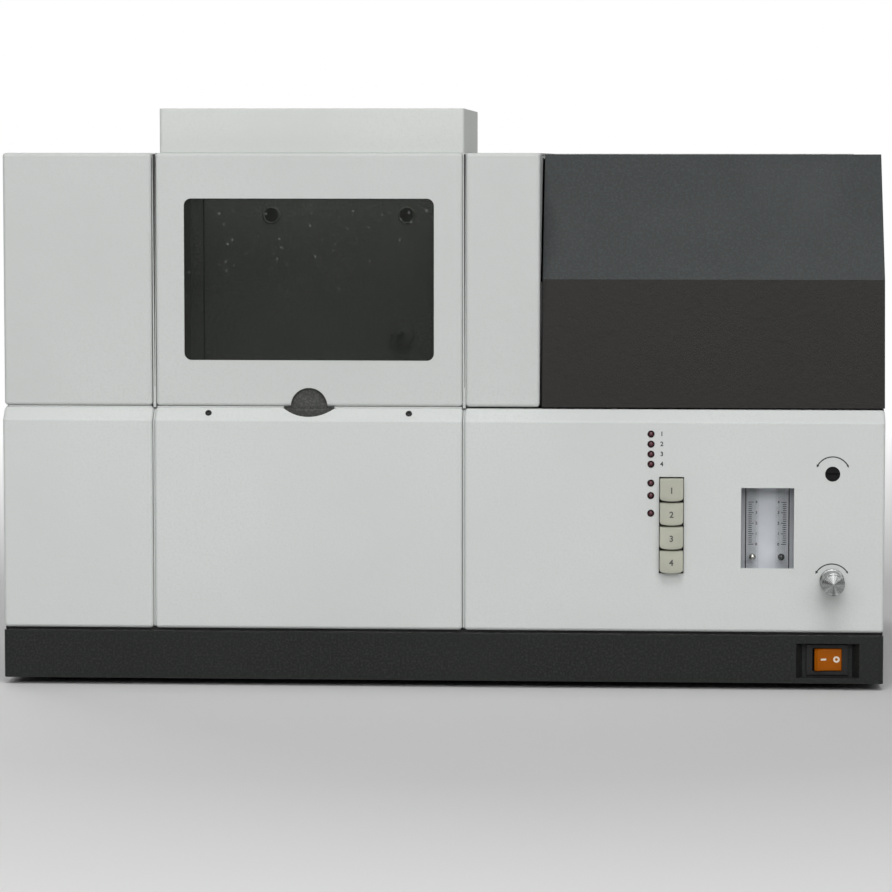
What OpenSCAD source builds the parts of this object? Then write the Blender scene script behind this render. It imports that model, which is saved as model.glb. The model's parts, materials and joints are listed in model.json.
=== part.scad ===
// Bench-top flame spectrometer, millimetres, +Z up, front faces -Y, origin on the bench under the middle

/* [Overall] */
// Width across the base
base_w = 739; // [700:1:820]
// Depth from the lower front panels to the back panel
body_d = 500; // [480:1:560]
// Thickness of the painted sheet
sheet = 2; // [1.5:0.1:2.5]
// Gap between neighbouring panels
seam = 1.5; // [1.2:0.1:2]
// Radius of the soft front edges
edge_r = 3; // [2:0.1:4]

/* [Base] */
// Height of the rubber feet
foot_h = 6; // [4:0.5:12]
// Diameter of the rubber feet
foot_d = 36; // [24:1:44]
// Distance of the feet from the sides of the base
foot_inset = 45; // [30:1:80]
// Height of the base tray
base_h = 40; // [40:0.5:50]
// Wall of the base tray
base_wall = 2.5; // [2.1:0.1:3]
// How far the base stands out in front of the lower panels
base_lip = 2; // [0:0.5:5]
// Shadow gap between the base and the lower panels
base_gap = 2.5; // [1:0.1:5]
// Radius of the upright corners of the base
base_edge = 3; // [2:0.1:6]

/* [Front layout] */
// Width of the lamp bay
left_w = 127.5; // [122:0.5:132]
// Width of the burner bay
centre_w = 260.5; // [252:0.5:272]
// Height of the upright part of the lower panels
lower_h = 175.5; // [170:0.5:190]
// Height of the bevel on top of the lower panels
bevel_h = 10; // [7:0.5:12]
// Depth of the bevel on top of the lower panels
bevel_d = 10; // [7:0.5:10]
// Depth of the lower panels
pan_d = 24; // [23.5:0.5:26]
// Height of the doors
upper_h = 212; // [204:0.5:226]
// Width of the pale column beside the burner door
column_w = 62; // [56:0.5:76]

/* [Doors] */
// Width of the burner window
window_w = 210; // [180:0.5:216]
// Height of the burner window
window_h = 135.5; // [110:0.5:140]
// Height of the window above the lower edge of the door
window_up = 38.5; // [32:0.5:42]
// Corner radius of the window
window_r = 6; // [3:0.5:10]
// Thickness of the window pane
glass_t = 4; // [3:0.5:5]
// Radius of the finger notch in the burner door
notch_r = 15.4; // [12:0.1:18]
// Width of the scoop in the bevel under the notch
scoop_w = 43.5; // [36:0.5:50]
// Depth of the scoop in the bevel
scoop_d = 7; // [5:0.1:9]
// Distance between the two screws in the bevel
screw_span = 168.6; // [140:0.1:220]
// Diameter of the hinge pins
hinge_d = 4; // [3:0.1:4.4]

/* [Dark cover] */
// Gap between the column and the dark cover
cover_gap = 2; // [1:0.1:3]
// Height of the fold in the dark cover above its lower edge
fold_h = 106.5; // [95:0.5:115]
// Setback of the fold
fold_back = 15; // [10:0.5:20]
// Setback of the upper front edge
top_back = 80; // [60:0.5:90]

/* [Chimney] */
// Height of the chimney above the doors
chimney_h = 37.5; // [25:0.5:60]
// Depth of the chimney
chimney_d = 244; // [220:1:260]
// Distance of the chimney behind the door faces
chimney_back = 29; // [27:0.5:40]
// Width of the rim turned in at the top
chimney_rim = 8; // [4:0.5:14]

/* [Burner bay] */
// Depth of the burner chamber behind the door seat
chamber_d = 216; // [205:1:230]
// Thickness of the chamber liner
liner_t = 1.5; // [1:0.1:2]
// Height of the light beam above the lower edge of the doors
beam_up = 38; // [35:0.5:44]
// Distance of the light beam behind the door seat
beam_back = 111; // [106:0.5:116]
// Diameter of the lenses in the bay walls
lens_d = 28; // [20:0.5:32]
// Length of the burner head
burner_l = 110; // [90:1:130]
// Width of the burner head
burner_w = 26; // [20:0.5:34]
// Height of the burner head
burner_h = 18; // [14:0.5:22]
// Diameter of the burner neck
neck_d = 28; // [22:0.5:32]
// Diameter of the spray chamber
barrel_d = 64; // [54:0.5:66]
// Length of the spray chamber
barrel_l = 100; // [84:1:120]
// Travel of the burner lift to each side
lift = 8; // [4:0.5:10]
// Height of the spray chamber above the lower edge of the panels
barrel_up = 116; // [100:0.5:118]
// Width of the lift stage
stage_w = 48; // [40:0.5:60]
// Width of the lift post
lift_post_w = 24; // [18:0.5:28]
// Depth of the lift post
lift_post_d = 20; // [14:0.5:24]
// Distance between the two ports in the back of the chamber
port_span = 122; // [90:1:180]
// How far the middle of the ports lies to the right of the middle of the door
port_shift = 6; // [0:0.5:10]
// Distance of the ports below the top of the doors
port_down = 55.5; // [40:0.5:80]
// Diameter of the ports
port_d = 12; // [8:0.5:16]
// Distance of the igniter from the middle of the burner
igniter_x = 62; // [58:0.5:80]

/* [Lamp bay] */
// Diameter of the lamps
lamp_d = 38; // [34:0.5:38]
// Length of the lamps
lamp_len = 130; // [115:1:135]
// Radius of the circle of lamps
lamp_ring = 34; // [32:0.5:34]
// Diameter of the turret spindle
spindle_d = 10; // [7:0.5:12]

/* [Monochromator] */
// Thickness of the optical bench
bench_t = 8; // [6:0.5:9]
// Distance of the optical bench from the front frame and from the back panel
bench_in = 36; // [30:0.5:40]
// Diameter of the mirrors
mirror_d = 50; // [40:0.5:52]
// Distance of the mirror mounts from the right side
mirror_in = 24; // [18:0.5:60]
// Distance between the mirrors
mirror_span = 210; // [180:1:220]
// Distance of the grating from the burner bay
grating_in = 95; // [75:0.5:150]
// Distance of the grating behind the light beam
grating_back = 120; // [110:0.5:130]
// Diameter of the grating table
table_d = 68; // [60:0.5:76]
// Width of the grating
grating_w = 52; // [40:0.5:56]
// Width of the grating motor
motor_w = 44; // [36:0.5:56]
// Height of the grating motor
motor_h = 40; // [30:0.5:60]
// Distance of the entrance slit from the burner bay
slit_in = 29; // [20:0.5:60]
// Distance of the exit slit from the burner bay
exit_in = 81; // [75:0.5:100]
// Distance of the exit slit behind the light beam
exit_back = 240; // [225:0.5:245]
// Length of the slits
slit_h = 20; // [12:0.5:24]
// Width of the slits
slit_w = 1.2; // [0.6:0.1:2]
// Length of the detector housing
detector_l = 66; // [50:0.5:70]
// Width of the detector housing
detector_w = 68; // [50:0.5:70]

/* [Electronics and gas supply] */
// Width of the transformer core
core_w = 80; // [60:0.5:90]
// Depth of the transformer core
core_d = 48; // [30:0.5:60]
// Height of the transformer core
core_h = 68; // [50:0.5:90]
// Depth across the transformer winding
winding_d = 80; // [64:0.5:100]
// Width of the main board
board_w = 180; // [160:1:220]
// Depth of the main board
board_d = 210; // [180:1:240]
// Thickness of the main board
board_t = 1.6; // [1:0.1:3]
// Height of the main board above the deck
board_up = 8; // [5:0.5:20]
// Distance of the main board from the burner bay
board_in = 45; // [20:1:80]
// Distance of the main board from the back panel
board_back = 100; // [60:1:120]
// Width of the gas manifold
manifold_w = 110; // [100:1:140]
// Depth of the gas manifold
manifold_d = 50; // [40:0.5:60]
// Height of the gas manifold
manifold_h = 34; // [24:0.5:40]
// Distance of the gas manifold from the right side
manifold_in = 20; // [15:0.5:40]
// Distance of the gas manifold behind the lower panels
manifold_back = 70; // [60:0.5:90]
// Distance between the gas valves on the manifold
coil_pitch = 33; // [28:0.5:38]

/* [Indicator lamps] */
// Diameter of the indicator lamps
led_d = 5; // [4:0.1:5.4]
// Distance of the indicator lamps from the right side
led_x = 194.3; // [194:0.1:202]
// Heights of the indicator lamps above the lower edge of the panel
led_z = [165.7, 157.3, 148.9, 140.5, 124.7, 114.3, 99.5];

/* [Keys] */
// Distance of the middle of the keys from the right side
key_x = 177; // [168:0.1:177.5]
// Height of the lower edge of the key slot above the lower edge of the panel
key_up = 49; // [40:0.5:56]
// Width of the keys
key_w = 19.6; // [16:0.1:20.2]
// Height from one key to the next
key_pitch = 20.1; // [18:0.1:21]
// Gap round the keys
key_gap = 0.5; // [0.3:0.05:0.7]
// How far the keys stand out of the panel
key_out = 7; // [5:0.1:9]
// Travel of the keys
key_travel = 3.5; // [2:0.1:4]

/* [Flowmeter] */
// Distance of the middle of the flowmeter from the right side
flow_x = 97.1; // [90:0.1:106]
// Height of the lower edge of the flowmeter window above the lower edge of the panel
flow_up = 53.7; // [46:0.1:60]
// Width of the flowmeter window
flow_w = 44; // [38:0.1:48]
// Height of the flowmeter window
flow_h = 67.3; // [60:0.1:74]
// Distance between the two flow tubes
tube_gap = 24; // [22:0.1:27]
// Width of the flow tubes
tube_w = 9.6; // [8.6:0.1:10.5]
// Diameter of the floats
float_d = 5.8; // [5:0.1:6.2]

/* [Gas controls] */
// Distance of the gas controls from the right side
valve_x = 43.4; // [34:0.1:46]
// Height of the fuel knob above the lower edge of the panel
fuel_up = 43.8; // [40:0.1:60]
// Height of the oxidant adjuster above the lower edge of the panel
oxidant_up = 132.9; // [120:0.1:144]
// Diameter of the fuel knob
knob_d = 19.6; // [16:0.1:24]
// Length of the fuel knob
knob_len = 30; // [18:0.5:34]
// Diameter of the oxidant adjuster
adjuster_d = 12.5; // [10:0.1:15]
// Diameter of the valve stems
stem_d = 6; // [4:0.1:7]
// Diameter of the valve bodies
valve_d = 24; // [18:0.5:28]
// Length of the valve bodies
valve_len = 42; // [40:0.5:50]

/* [Power switch] */
// Distance of the switch pocket from the right side of the base
pocket_in = 46.3; // [42:0.1:66]
// Width of the switch pocket
pocket_w = 53.7; // [52:0.1:58]
// Height of the switch pocket
pocket_h = 29; // [28.4:0.1:30]
// Depth of the switch pocket
pocket_d = 10; // [8:0.1:12]
// Width of the rocker
rocker_w = 21.9; // [18:0.1:23]
// Height of the rocker
rocker_h = 18.8; // [16:0.1:19.4]
// Tilt of the rocker to each side
rocker_tilt = 8; // [5:0.5:9]

/* [Back] */
// Length of the gas inlets behind the back panel
inlet_len = 31; // [24:0.5:38]
// Distance of the gas inlets from the right side
inlet_in = 70; // [50:1:100]
// Height of the lowest gas inlet above the deck
inlet_up = 60; // [40:1:80]
// Distance between the gas inlets
inlet_pitch = 40; // [30:1:60]
// Diameter of the hose tails
tail_d = 10; // [8:0.1:11]
// Size of the fan
fan_w = 92; // [80:1:92]
// Distance of the fan from the right side
fan_in = 170; // [150:1:220]
// Height of the fan above the deck
fan_up = 100; // [60:1:140]
// Distance of the mains inlet from the left side
plug_in = 70; // [50:1:100]
// Height of the mains inlet above the deck
plug_up = 44; // [30:1:80]
// Distance of the vent slots from the burner bay
vent_in = 45.5; // [30:0.5:80]
// Height of the vent slots in the back above the deck
vent_up = 250; // [200:1:300]
// Distance of the side slots from the back panel
slot_back = 190; // [160:1:220]
// Height of the side slots above the deck
slot_up = 40; // [20:1:100]
// Length of the side slots
slot_len = 80; // [40:1:120]

/* [Hidden] */
$fn = 48;
ball_fn = 16;
touch = 0.05;
loose = 0.3;
knob_gap = 1;
bay_t = 1.5;
post_w = 20;
shaft_r = 6;
screw_r = 1.5;
mid_y = (knob_gap + knob_len - inlet_len) / 2;
front_y = mid_y - body_d / 2;
rear_y = mid_y + body_d / 2;
back_in = rear_y - sheet;
frame_y = front_y + pan_d;
upper_y = front_y + bevel_d;
base_front = front_y - base_lip;
left_x = -base_w / 2;
right_x = base_w / 2;
seam_l = left_x + left_w;
seam_r = seam_l + centre_w;
base_z0 = foot_h;
base_z1 = foot_h + base_h;
deck_z0 = base_z1 - base_wall;
low_z0 = base_z1 + base_gap;
bend_z = low_z0 + lower_h;
low_z1 = bend_z + bevel_h;
up_z0 = low_z1 + seam;
up_z1 = up_z0 + upper_h;
roof_z0 = up_z1 - sheet;
door_x0 = seam_l + seam;
door_x1 = seam_r - seam * 0.8;
door_cx = (door_x0 + door_x1) / 2;
door_y1 = frame_y - loose;
col_x0 = seam_r + seam;
col_x1 = col_x0 + column_w;
cover_x0 = col_x1 + cover_gap;
cover_z1 = up_z1 - 1;
cover_d = frame_y - upper_y;
fold_y = upper_y + fold_back;
fold_z = up_z0 + fold_h;
top_y = upper_y + top_back;
hinge_y = frame_y - 3.5;
hinge_z = up_z1 - 4;
swing_x = left_x + 5.5;
swing_y = frame_y - 5;
floor_z = up_z0 - 5.5;
chamber_y1 = frame_y + chamber_d;
roof_y0 = frame_y + 6;
beam_y = frame_y + beam_back;
beam_z = up_z0 + beam_up;
turret_x = (left_x + seam_l) / 2 + 0.7;
turret_z = beam_z + lamp_ring;
lamp_y0 = beam_y + 28;
disc_y = lamp_y0 + lamp_len;
disc_r = lamp_ring + lamp_d / 2 + 1;
arm_y = disc_y + 17;
burner_z1 = beam_z - 10;
burner_z0 = burner_z1 - burner_h;
barrel_z = low_z0 + barrel_up;
post_y = beam_y + barrel_d / 2 + 23;
bench_z0 = up_z0 + 2.5;
bench_z1 = bench_z0 + bench_t;
bench_x0 = seam_r + bay_t / 2;
bench_x1 = right_x - sheet;
grating_x = seam_r + grating_in;
grating_y = beam_y + grating_back;
exit_y = beam_y + exit_back;
leds_x = right_x - led_x;
keys_x = right_x - key_x;
keys_z = low_z0 + key_up;
key_y1 = front_y + 18;
slot_w = key_w + 2 * key_gap;
slot_h = 4 * key_pitch + key_gap;
meter_x = right_x - flow_x;
meter_z0 = low_z0 + flow_up;
meter_z1 = meter_z0 + flow_h;
tube_y0 = front_y + sheet + 2.5;
tube_y1 = tube_y0 + 13;
float_y = (tube_y0 + tube_y1) / 2;
bore_r = float_d / 2 + 0.3;
seat_z = meter_z0 + 5.3;
float_z = seat_z + loose + float_d / 2;
gas_x = right_x - valve_x;
fuel_z = low_z0 + fuel_up;
oxidant_z = low_z0 + oxidant_up;
pocket_x = right_x - pocket_in;
pocket_z = base_z0 + base_h / 2 - 1;
pocket_y = base_front + pocket_d;
well_w = rocker_w + 2.6;
well_h = rocker_h + 0.8;
pivot_y = pocket_y + 1;
fan_x = right_x - fan_in;
fan_z = base_z1 + fan_up;
fan_r = fan_w / 2 - 3;
fan_y = back_in - 25;
plug_x = left_x + plug_in;
plug_z = base_z1 + plug_up;
inlets = [for (i = [0:2]) [right_x - inlet_in, base_z1 + inlet_up + i * inlet_pitch]];
rear_screw_x = [left_x + 14, seam_l + 125, seam_r + 105, right_x - 14];
rear_screws = [for (x = rear_screw_x, z = [base_z1 + 12, up_z1 - 14]) [x, z]];
bevel_a = atan2(bevel_d, bevel_h);
bevel_screws = [door_cx - screw_span / 2, door_cx + screw_span / 2];
foot_x = base_w / 2 - foot_inset;
foot_y = body_d / 2 - foot_inset;
feet = [for (x = [-1, 1], y = [-1, 1]) [x * foot_x, mid_y + y * foot_y]];
lamp_spots = [for (a = [0:90:270]) [turret_x + lamp_ring * sin(a), turret_z - lamp_ring * cos(a)]];

pale = [0.79, 0.80, 0.78];
dark = [0.22, 0.23, 0.23];
black = [0.10, 0.10, 0.10];
grey = [0.40, 0.41, 0.40];
metal = [0.68, 0.69, 0.70];
steel = [0.56, 0.57, 0.58];
glass = [0.62, 0.70, 0.72];
green = [0.16, 0.36, 0.24];
cream = [0.80, 0.80, 0.74];

// Shared shapes
module box(lo, hi) {
  translate(lo) cube(hi - lo);
}

module rod_x(x0, x1, y, z, r) {
  translate([x0, y, z]) rotate([0, 90, 0]) cylinder(h = x1 - x0, r = r);
}

module rod_y(y0, y1, x, z, r) {
  translate([x, y0, z]) rotate([-90, 0, 0]) cylinder(h = y1 - y0, r = r);
}

module rod_z(z0, z1, x, y, r) {
  translate([x, y, z0]) cylinder(h = z1 - z0, r = r);
}

module ball(r) {
  sphere(r / cos(180 / ball_fn), $fn = ball_fn);
}

// Solid between two corners with soft edges at the front
module soft_block(lo, hi, r) {
  hull() {
    for (x = [lo[0] + r, hi[0] - r], z = [lo[2] + r, hi[2] - r]) {
      translate([x, lo[1] + r, z]) ball(r);
      translate([x, hi[1], z]) rotate([90, 0, 0]) cylinder(h = 1, r = r, $fn = ball_fn);
    }
  }
}

// Rounded rectangle round the origin, drawn in the plane
module round_rect(w, h, r) {
  square([w - 2 * r, h], center = true);
  square([w, h - 2 * r], center = true);
  for (x = [-1, 1], y = [-1, 1]) {
    translate([x * (w / 2 - r), y * (h / 2 - r)]) circle(r);
  }
}

// Rounded rectangle standing across the depth
module round_slab(cx, cz, w, h, r, y0, y1) {
  translate([cx, y1, cz]) rotate([90, 0, 0]) linear_extrude(height = y1 - y0) round_rect(w, h, r);
}

// Profile drawn as depth and height, pulled along the width
module along_x(x0, x1, points) {
  translate([x0, 0, 0]) rotate([90, 0, 90]) linear_extrude(height = x1 - x0) polygon(points);
}

// Lower panel with a bevelled top edge, open behind
module bevel_pan(x0, x1) {
  r = edge_r;
  half = (x1 - x0) / 2;
  pan_h = lower_h + bevel_h;
  lean = tan(bevel_a / 2);
  fall = tan(45 - bevel_a / 2);
  translate([(x0 + x1) / 2, front_y, low_z0]) difference() {
    hull() {
      for (x = [r - half, half - r]) {
        translate([x, r, r]) ball(r);
        translate([x, r, lower_h - r * lean]) ball(r);
        translate([x, bevel_d + r * fall, pan_h - r]) ball(r);
      }
      box([-half, pan_d - 1, 0], [half, pan_d, pan_h]);
    }
    along_x(sheet - half, half - sheet, [
      [sheet, sheet],
      [sheet, lower_h - sheet * lean],
      [bevel_d + sheet * fall, pan_h - sheet],
      [pan_d + 1, pan_h - sheet],
      [pan_d + 1, sheet]
    ]);
  }
}

// Door or cover with soft edges, open behind
module soft_pan(lo, hi) {
  difference() {
    soft_block(lo, hi, edge_r);
    box([lo[0] + sheet, lo[1] + sheet, lo[2] + sheet], [hi[0] - sheet, hi[1] + 1, hi[2] - sheet]);
  }
}

// Base and inner frame
module base_tray() {
  in_x = base_w / 2 - base_wall;
  in_y0 = base_front + base_wall;
  in_y1 = rear_y - base_wall;
  ledge = 10;
  half = pocket_w / 2;
  hole_x = well_w / 2 + 2.2;
  hole_z = well_h / 2 + 1.6;
  color(dark) difference() {
    union() {
      difference() {
        translate([0, (base_front + rear_y) / 2, base_z0]) {
          linear_extrude(height = base_h) round_rect(base_w, rear_y - base_front, base_edge);
        }
        box([-in_x, in_y0, deck_z0], [in_x, in_y1, base_z1 + 1]);
        box([-in_x, in_y0, base_z0 + base_wall], [in_x, in_y1, deck_z0 - base_wall]);
        box([ledge - in_x, in_y0 + ledge, base_z0 + base_wall], [in_x - ledge, in_y1 - ledge, base_z1]);
      }
      translate([pocket_x, 0, 0]) {
        box([-half - 2, in_y0 - 0.5, base_z0 + 1], [half + 2, pocket_y + 2, deck_z0 - 1]);
      }
    }
    translate([pocket_x, 0, pocket_z - pocket_h / 2]) linear_extrude(height = pocket_h) polygon([
      [-half, base_front - 1], [half, base_front - 1], [half - 6, pocket_y], [6 - half, pocket_y]
    ]);
    translate([pocket_x, 0, pocket_z]) {
      box([-hole_x, pocket_y - 1, -hole_z], [hole_x, pocket_y + 3, hole_z]);
    }
  }
}

module chassis_deck() {
  in_x = base_w / 2 - base_wall - loose;
  in_y0 = base_front + base_wall + loose;
  in_y1 = rear_y - base_wall - loose;
  color(steel) box([-in_x, in_y0, deck_z0], [in_x, in_y1, base_z1]);
}

module rubber_feet() {
  color(black) for (p = feet) {
    rod_z(0, foot_h, p[0], p[1], foot_d / 2);
  }
}

// Wall between two bays, with a front post that the panels close against and an ear for the door hinge
module bay_wall(x, post_x0) {
  lo = x - bay_t / 2;
  hi = x + bay_t / 2;
  difference() {
    union() {
      box([lo, frame_y, base_z1], [hi, back_in, roof_z0]);
      box([post_x0, frame_y, base_z1], [post_x0 + post_w, frame_y + bay_t, hinge_z - 14]);
      box([lo, hinge_y - 4, hinge_z - 6], [hi, frame_y, hinge_z + 3.5]);
    }
    rod_x(lo - 1, hi + 1, beam_y, beam_z, lens_d / 2 + touch);
    rod_x(lo - 1, hi + 1, hinge_y, hinge_z, hinge_d / 2 + 0.01);
  }
}

module bulkheads() {
  color(pale) {
    bay_wall(seam_l, seam_l - post_w / 2);
    bay_wall(seam_r, seam_r - post_w / 2);
  }
}

// Row of cooling slots through a side panel
module side_slots(x) {
  for (i = [0:7]) {
    y = rear_y - slot_back + i * 18;
    box([x, y, base_z1 + slot_up], [x + sheet + 2, y + 6, base_z1 + slot_up + slot_len]);
  }
}

module left_side_panel() {
  front = frame_y + 3;
  color(pale) difference() {
    union() {
      box([left_x, front, base_z1], [left_x + sheet, back_in, roof_z0]);
      box([left_x, frame_y, base_z1], [left_x + sheet, front, low_z1]);
      box([left_x + sheet, frame_y, base_z1], [left_x + 14, frame_y + bay_t, low_z1]);
      box([left_x + sheet, front, low_z1], [left_x + 14, front + bay_t, roof_z0]);
      for (z = [up_z0 + 20, up_z1 - 28]) {
        rod_z(z, z + 3, swing_x, swing_y, hinge_d / 2 + 1.2);
        box([swing_x + 2.4, swing_y - 2, z], [swing_x + 7, front + touch, z + 3]);
        box([swing_x, swing_y - 2, z], [swing_x + 3, swing_y + 2, z + 3]);
      }
    }
    for (z = [up_z0 + 20, up_z1 - 28]) {
      rod_z(z - 1, z + 4, swing_x, swing_y, hinge_d / 2 + 0.01);
    }
    side_slots(left_x - 1);
  }
}

module right_side_panel() {
  color(pale) difference() {
    union() {
      along_x(right_x - sheet, right_x, [
        [frame_y, base_z1],
        [frame_y, up_z0],
        [fold_y + cover_d, fold_z],
        [top_y + cover_d, cover_z1 - sheet],
        [back_in, cover_z1 - sheet],
        [back_in, base_z1]
      ]);
      box([right_x - 14, frame_y, base_z1], [right_x - sheet, frame_y + bay_t, low_z1]);
    }
    side_slots(right_x - sheet - 1);
  }
}

module rear_panel() {
  y0 = back_in - 1;
  y1 = rear_y + 1;
  color(pale) difference() {
    box([left_x, back_in, base_z1], [right_x, rear_y, up_z1]);
    intersection() {
      rod_y(y0, y1, fan_x, fan_z, fan_r);
      for (i = [-5:5]) {
        translate([fan_x + i * 8, 0, fan_z]) box([-2.6, y0, -fan_r], [2.6, y1, fan_r]);
      }
    }
    translate([plug_x, 0, plug_z]) box([-23.2, y0, -13.7], [23.2, y1, 13.7]);
    for (p = inlets) {
      rod_y(y0, y1, p[0], p[1], shaft_r + touch);
    }
    for (p = rear_screws) {
      rod_y(y0, y1, p[0], p[1], screw_r + 0.1);
    }
    for (i = [0:11]) {
      translate([seam_l + vent_in + i * 14, 0, base_z1 + vent_up]) box([0, y0, 0], [6, y1, 60]);
    }
  }
}

// Covers on top
module lamp_top_cover() {
  color(pale) box([left_x, frame_y + seam, roof_z0], [seam_l - touch, back_in, up_z1]);
}

module burner_top_cover() {
  mouth_x = centre_w / 2 - 14;
  lap = [col_x1 - 10, top_y + 8, cover_z1 - 2 * sheet];
  color(pale) difference() {
    union() {
      box([seam_l + touch, roof_y0, roof_z0], [col_x1, back_in, up_z1]);
      box(lap, [cover_x0 + 10, back_in, cover_z1 - sheet]);
      box(lap, [col_x1, back_in, up_z1]);
    }
    box([door_cx - mouth_x, roof_y0 + 14, roof_z0 - 1], [door_cx + mouth_x, chamber_y1 - 12, up_z1 + 1]);
  }
}

module chimney() {
  y0 = upper_y + chimney_back;
  y1 = y0 + chimney_d;
  z1 = up_z1 + chimney_h;
  rim = chimney_rim;
  color(pale) difference() {
    translate([door_cx, (y0 + y1) / 2, up_z1]) {
      linear_extrude(height = chimney_h) round_rect(door_x1 - door_x0, chimney_d, edge_r);
    }
    box([door_x0 + sheet, y0 + sheet, up_z1 - 1], [door_x1 - sheet, y1 - sheet, z1 - sheet]);
    box([door_x0 + rim, y0 + rim, up_z1], [door_x1 - rim, y1 - rim, z1 + 1]);
  }
}

module mono_cover() {
  rim = cover_d - loose;
  a = atan2(fold_back, fold_h);
  b = atan2(top_back - fold_back, cover_z1 - fold_z);
  s = sheet;
  in_y = s * cos((a + b) / 2) / cos((b - a) / 2);
  in_z = s * sin((a + b) / 2) / cos((b - a) / 2);
  color(dark) {
    along_x(right_x - s, right_x, [
      [upper_y + rim, up_z0],
      [upper_y, up_z0],
      [fold_y, fold_z],
      [top_y, cover_z1],
      [top_y + rim, cover_z1 - s / 2],
      [top_y + rim, cover_z1 - s],
      [fold_y + rim, fold_z]
    ]);
    along_x(cover_x0, right_x, [
      [frame_y, up_z0],
      [upper_y, up_z0],
      [fold_y, fold_z],
      [top_y, cover_z1],
      [back_in, cover_z1],
      [back_in, cover_z1 - s],
      [top_y + s * tan(45 - b / 2), cover_z1 - s],
      [fold_y + in_y, fold_z - in_z],
      [upper_y + s / cos(a) + s * tan(a), up_z0 + s],
      [frame_y, up_z0 + s]
    ]);
  }
}

module column_cover() {
  deep = top_y + 6;
  color(pale) difference() {
    soft_pan([col_x0, upper_y, up_z0], [col_x1, deep, up_z1]);
    box([col_x0 - 1, frame_y, up_z0 - 1], [seam_r + post_w / 2 + loose, deep + 1, up_z1 + 1]);
    box([col_x0 - 1, roof_y0 - loose, roof_z0 - loose], [col_x1 + 1, deep + 1, up_z1 + 1]);
    along_x(col_x0 - 1, col_x1 + 1, [
      [frame_y, up_z0 - 1],
      [frame_y, up_z0],
      [fold_y + cover_d, fold_z],
      [top_y + cover_d, cover_z1],
      [top_y + cover_d, up_z0 - 1]
    ]);
  }
}

// Lower panels
module lower_left_panel() {
  color(pale) bevel_pan(left_x, seam_l - seam / 2);
}

module lower_centre_panel() {
  half = scoop_w / 2;
  scoop_r = (half * half + scoop_d * scoop_d) / (2 * scoop_d);
  color(pale) difference() {
    bevel_pan(seam_l + seam / 2, seam_r - seam / 2);
    rod_z(bend_z - 4, low_z1 + 1, door_cx, upper_y - scoop_d + scoop_r, scoop_r);
    for (x = bevel_screws) {
      bevel_hole(x);
    }
  }
}

module bevel_hole(x) {
  translate([x, (front_y + upper_y) / 2, (bend_z + low_z1) / 2]) rotate([90 - bevel_a, 0, 0]) {
    translate([0, 0, -6]) cylinder(h = 8, r = screw_r + 0.1);
  }
}

module control_panel() {
  back = front_y + sheet + 1;
  color(pale) difference() {
    bevel_pan(seam_r + seam / 2, right_x);
    for (z = led_z) {
      rod_y(front_y - 1, back, leds_x, low_z0 + z, led_d / 2 + touch);
    }
    box([keys_x - slot_w / 2, front_y - 1, keys_z], [keys_x + slot_w / 2, back, keys_z + slot_h]);
    box([meter_x - flow_w / 2, front_y - 1, meter_z0], [meter_x + flow_w / 2, back, meter_z1]);
    rod_y(front_y - 1, back, gas_x, fuel_z, stem_d / 2 + touch);
    rod_y(front_y - 1, back, gas_x, oxidant_z, adjuster_d / 2 + touch);
  }
}

module cover_screws() {
  color(black) {
    for (x = bevel_screws) {
      translate([x, (front_y + upper_y) / 2, (bend_z + low_z1) / 2]) rotate([90 - bevel_a, 0, 0]) {
        difference() {
          cylinder(h = 1.8, r = 2.7);
          translate([0, 0, 0.8]) cylinder(h = 2, r = 1.3, $fn = 6);
        }
        translate([0, 0, -5]) cylinder(h = 5, r = screw_r);
      }
    }
    for (p = rear_screws) {
      rod_y(rear_y, rear_y + 1.8, p[0], p[1], 3.2);
      rod_y(back_in - 4, rear_y, p[0], p[1], screw_r);
    }
  }
}

// Doors
module lamp_door() {
  x0 = left_x;
  x1 = seam_l - seam - 0.5;
  color(pale) difference() {
    union() {
      difference() {
        soft_pan([x0, upper_y, up_z0], [x1, door_y1, up_z1]);
        box([x0 - 1, swing_y + 1, up_z0 - 1], [swing_x + 3.2, frame_y + 1, up_z1 + 1]);
      }
      for (z = [up_z0 + 20, up_z1 - 28]) {
        box([x0 + sheet / 2, upper_y + sheet / 2, z + 3 + loose], [swing_x + 3.2, swing_y + 3, z + 7]);
      }
    }
    for (z = [up_z0 + 20, up_z1 - 28]) {
      rod_z(z + 2, z + 8, swing_x, swing_y, hinge_d / 2 + touch);
    }
  }
}

module burner_door() {
  win_z = up_z0 + window_up + window_h / 2;
  r = hinge_d / 2 + 1.4;
  color(pale) difference() {
    union() {
      soft_pan([door_x0, upper_y, up_z0], [door_x1, door_y1, up_z1]);
      rod_x(door_x0 + sheet / 2, door_x0 + 10, hinge_y, hinge_z, r);
      rod_x(door_x1 - 10, door_x1 - sheet / 2, hinge_y, hinge_z, r);
    }
    round_slab(door_cx, win_z, window_w, window_h, window_r, upper_y - 1, upper_y + sheet + 1);
    rod_y(upper_y - 1, frame_y + 1, door_cx, up_z0, notch_r);
    rod_x(door_x0 - 1, door_x0 + 11, hinge_y, hinge_z, hinge_d / 2 + touch);
    rod_x(door_x1 - 11, door_x1 + 1, hinge_y, hinge_z, hinge_d / 2 + touch);
  }
}

module door_window() {
  half_w = window_w / 2 + 9;
  half_h = window_h / 2 + 9;
  translate([door_cx, upper_y + sheet, up_z0 + window_up + window_h / 2]) {
    color(glass) box([-half_w, 0, -half_h], [half_w, glass_t, half_h]);
  }
}

module hinge_pins() {
  r = hinge_d / 2;
  color(steel) {
    rod_x(seam_l - bay_t / 2, door_x0 + 8, hinge_y, hinge_z, r);
    rod_x(door_x1 - 8, seam_r + bay_t / 2, hinge_y, hinge_z, r);
    for (z = [up_z0 + 20, up_z1 - 28]) {
      rod_z(z, z + 7, swing_x, swing_y, r);
    }
  }
}

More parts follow.
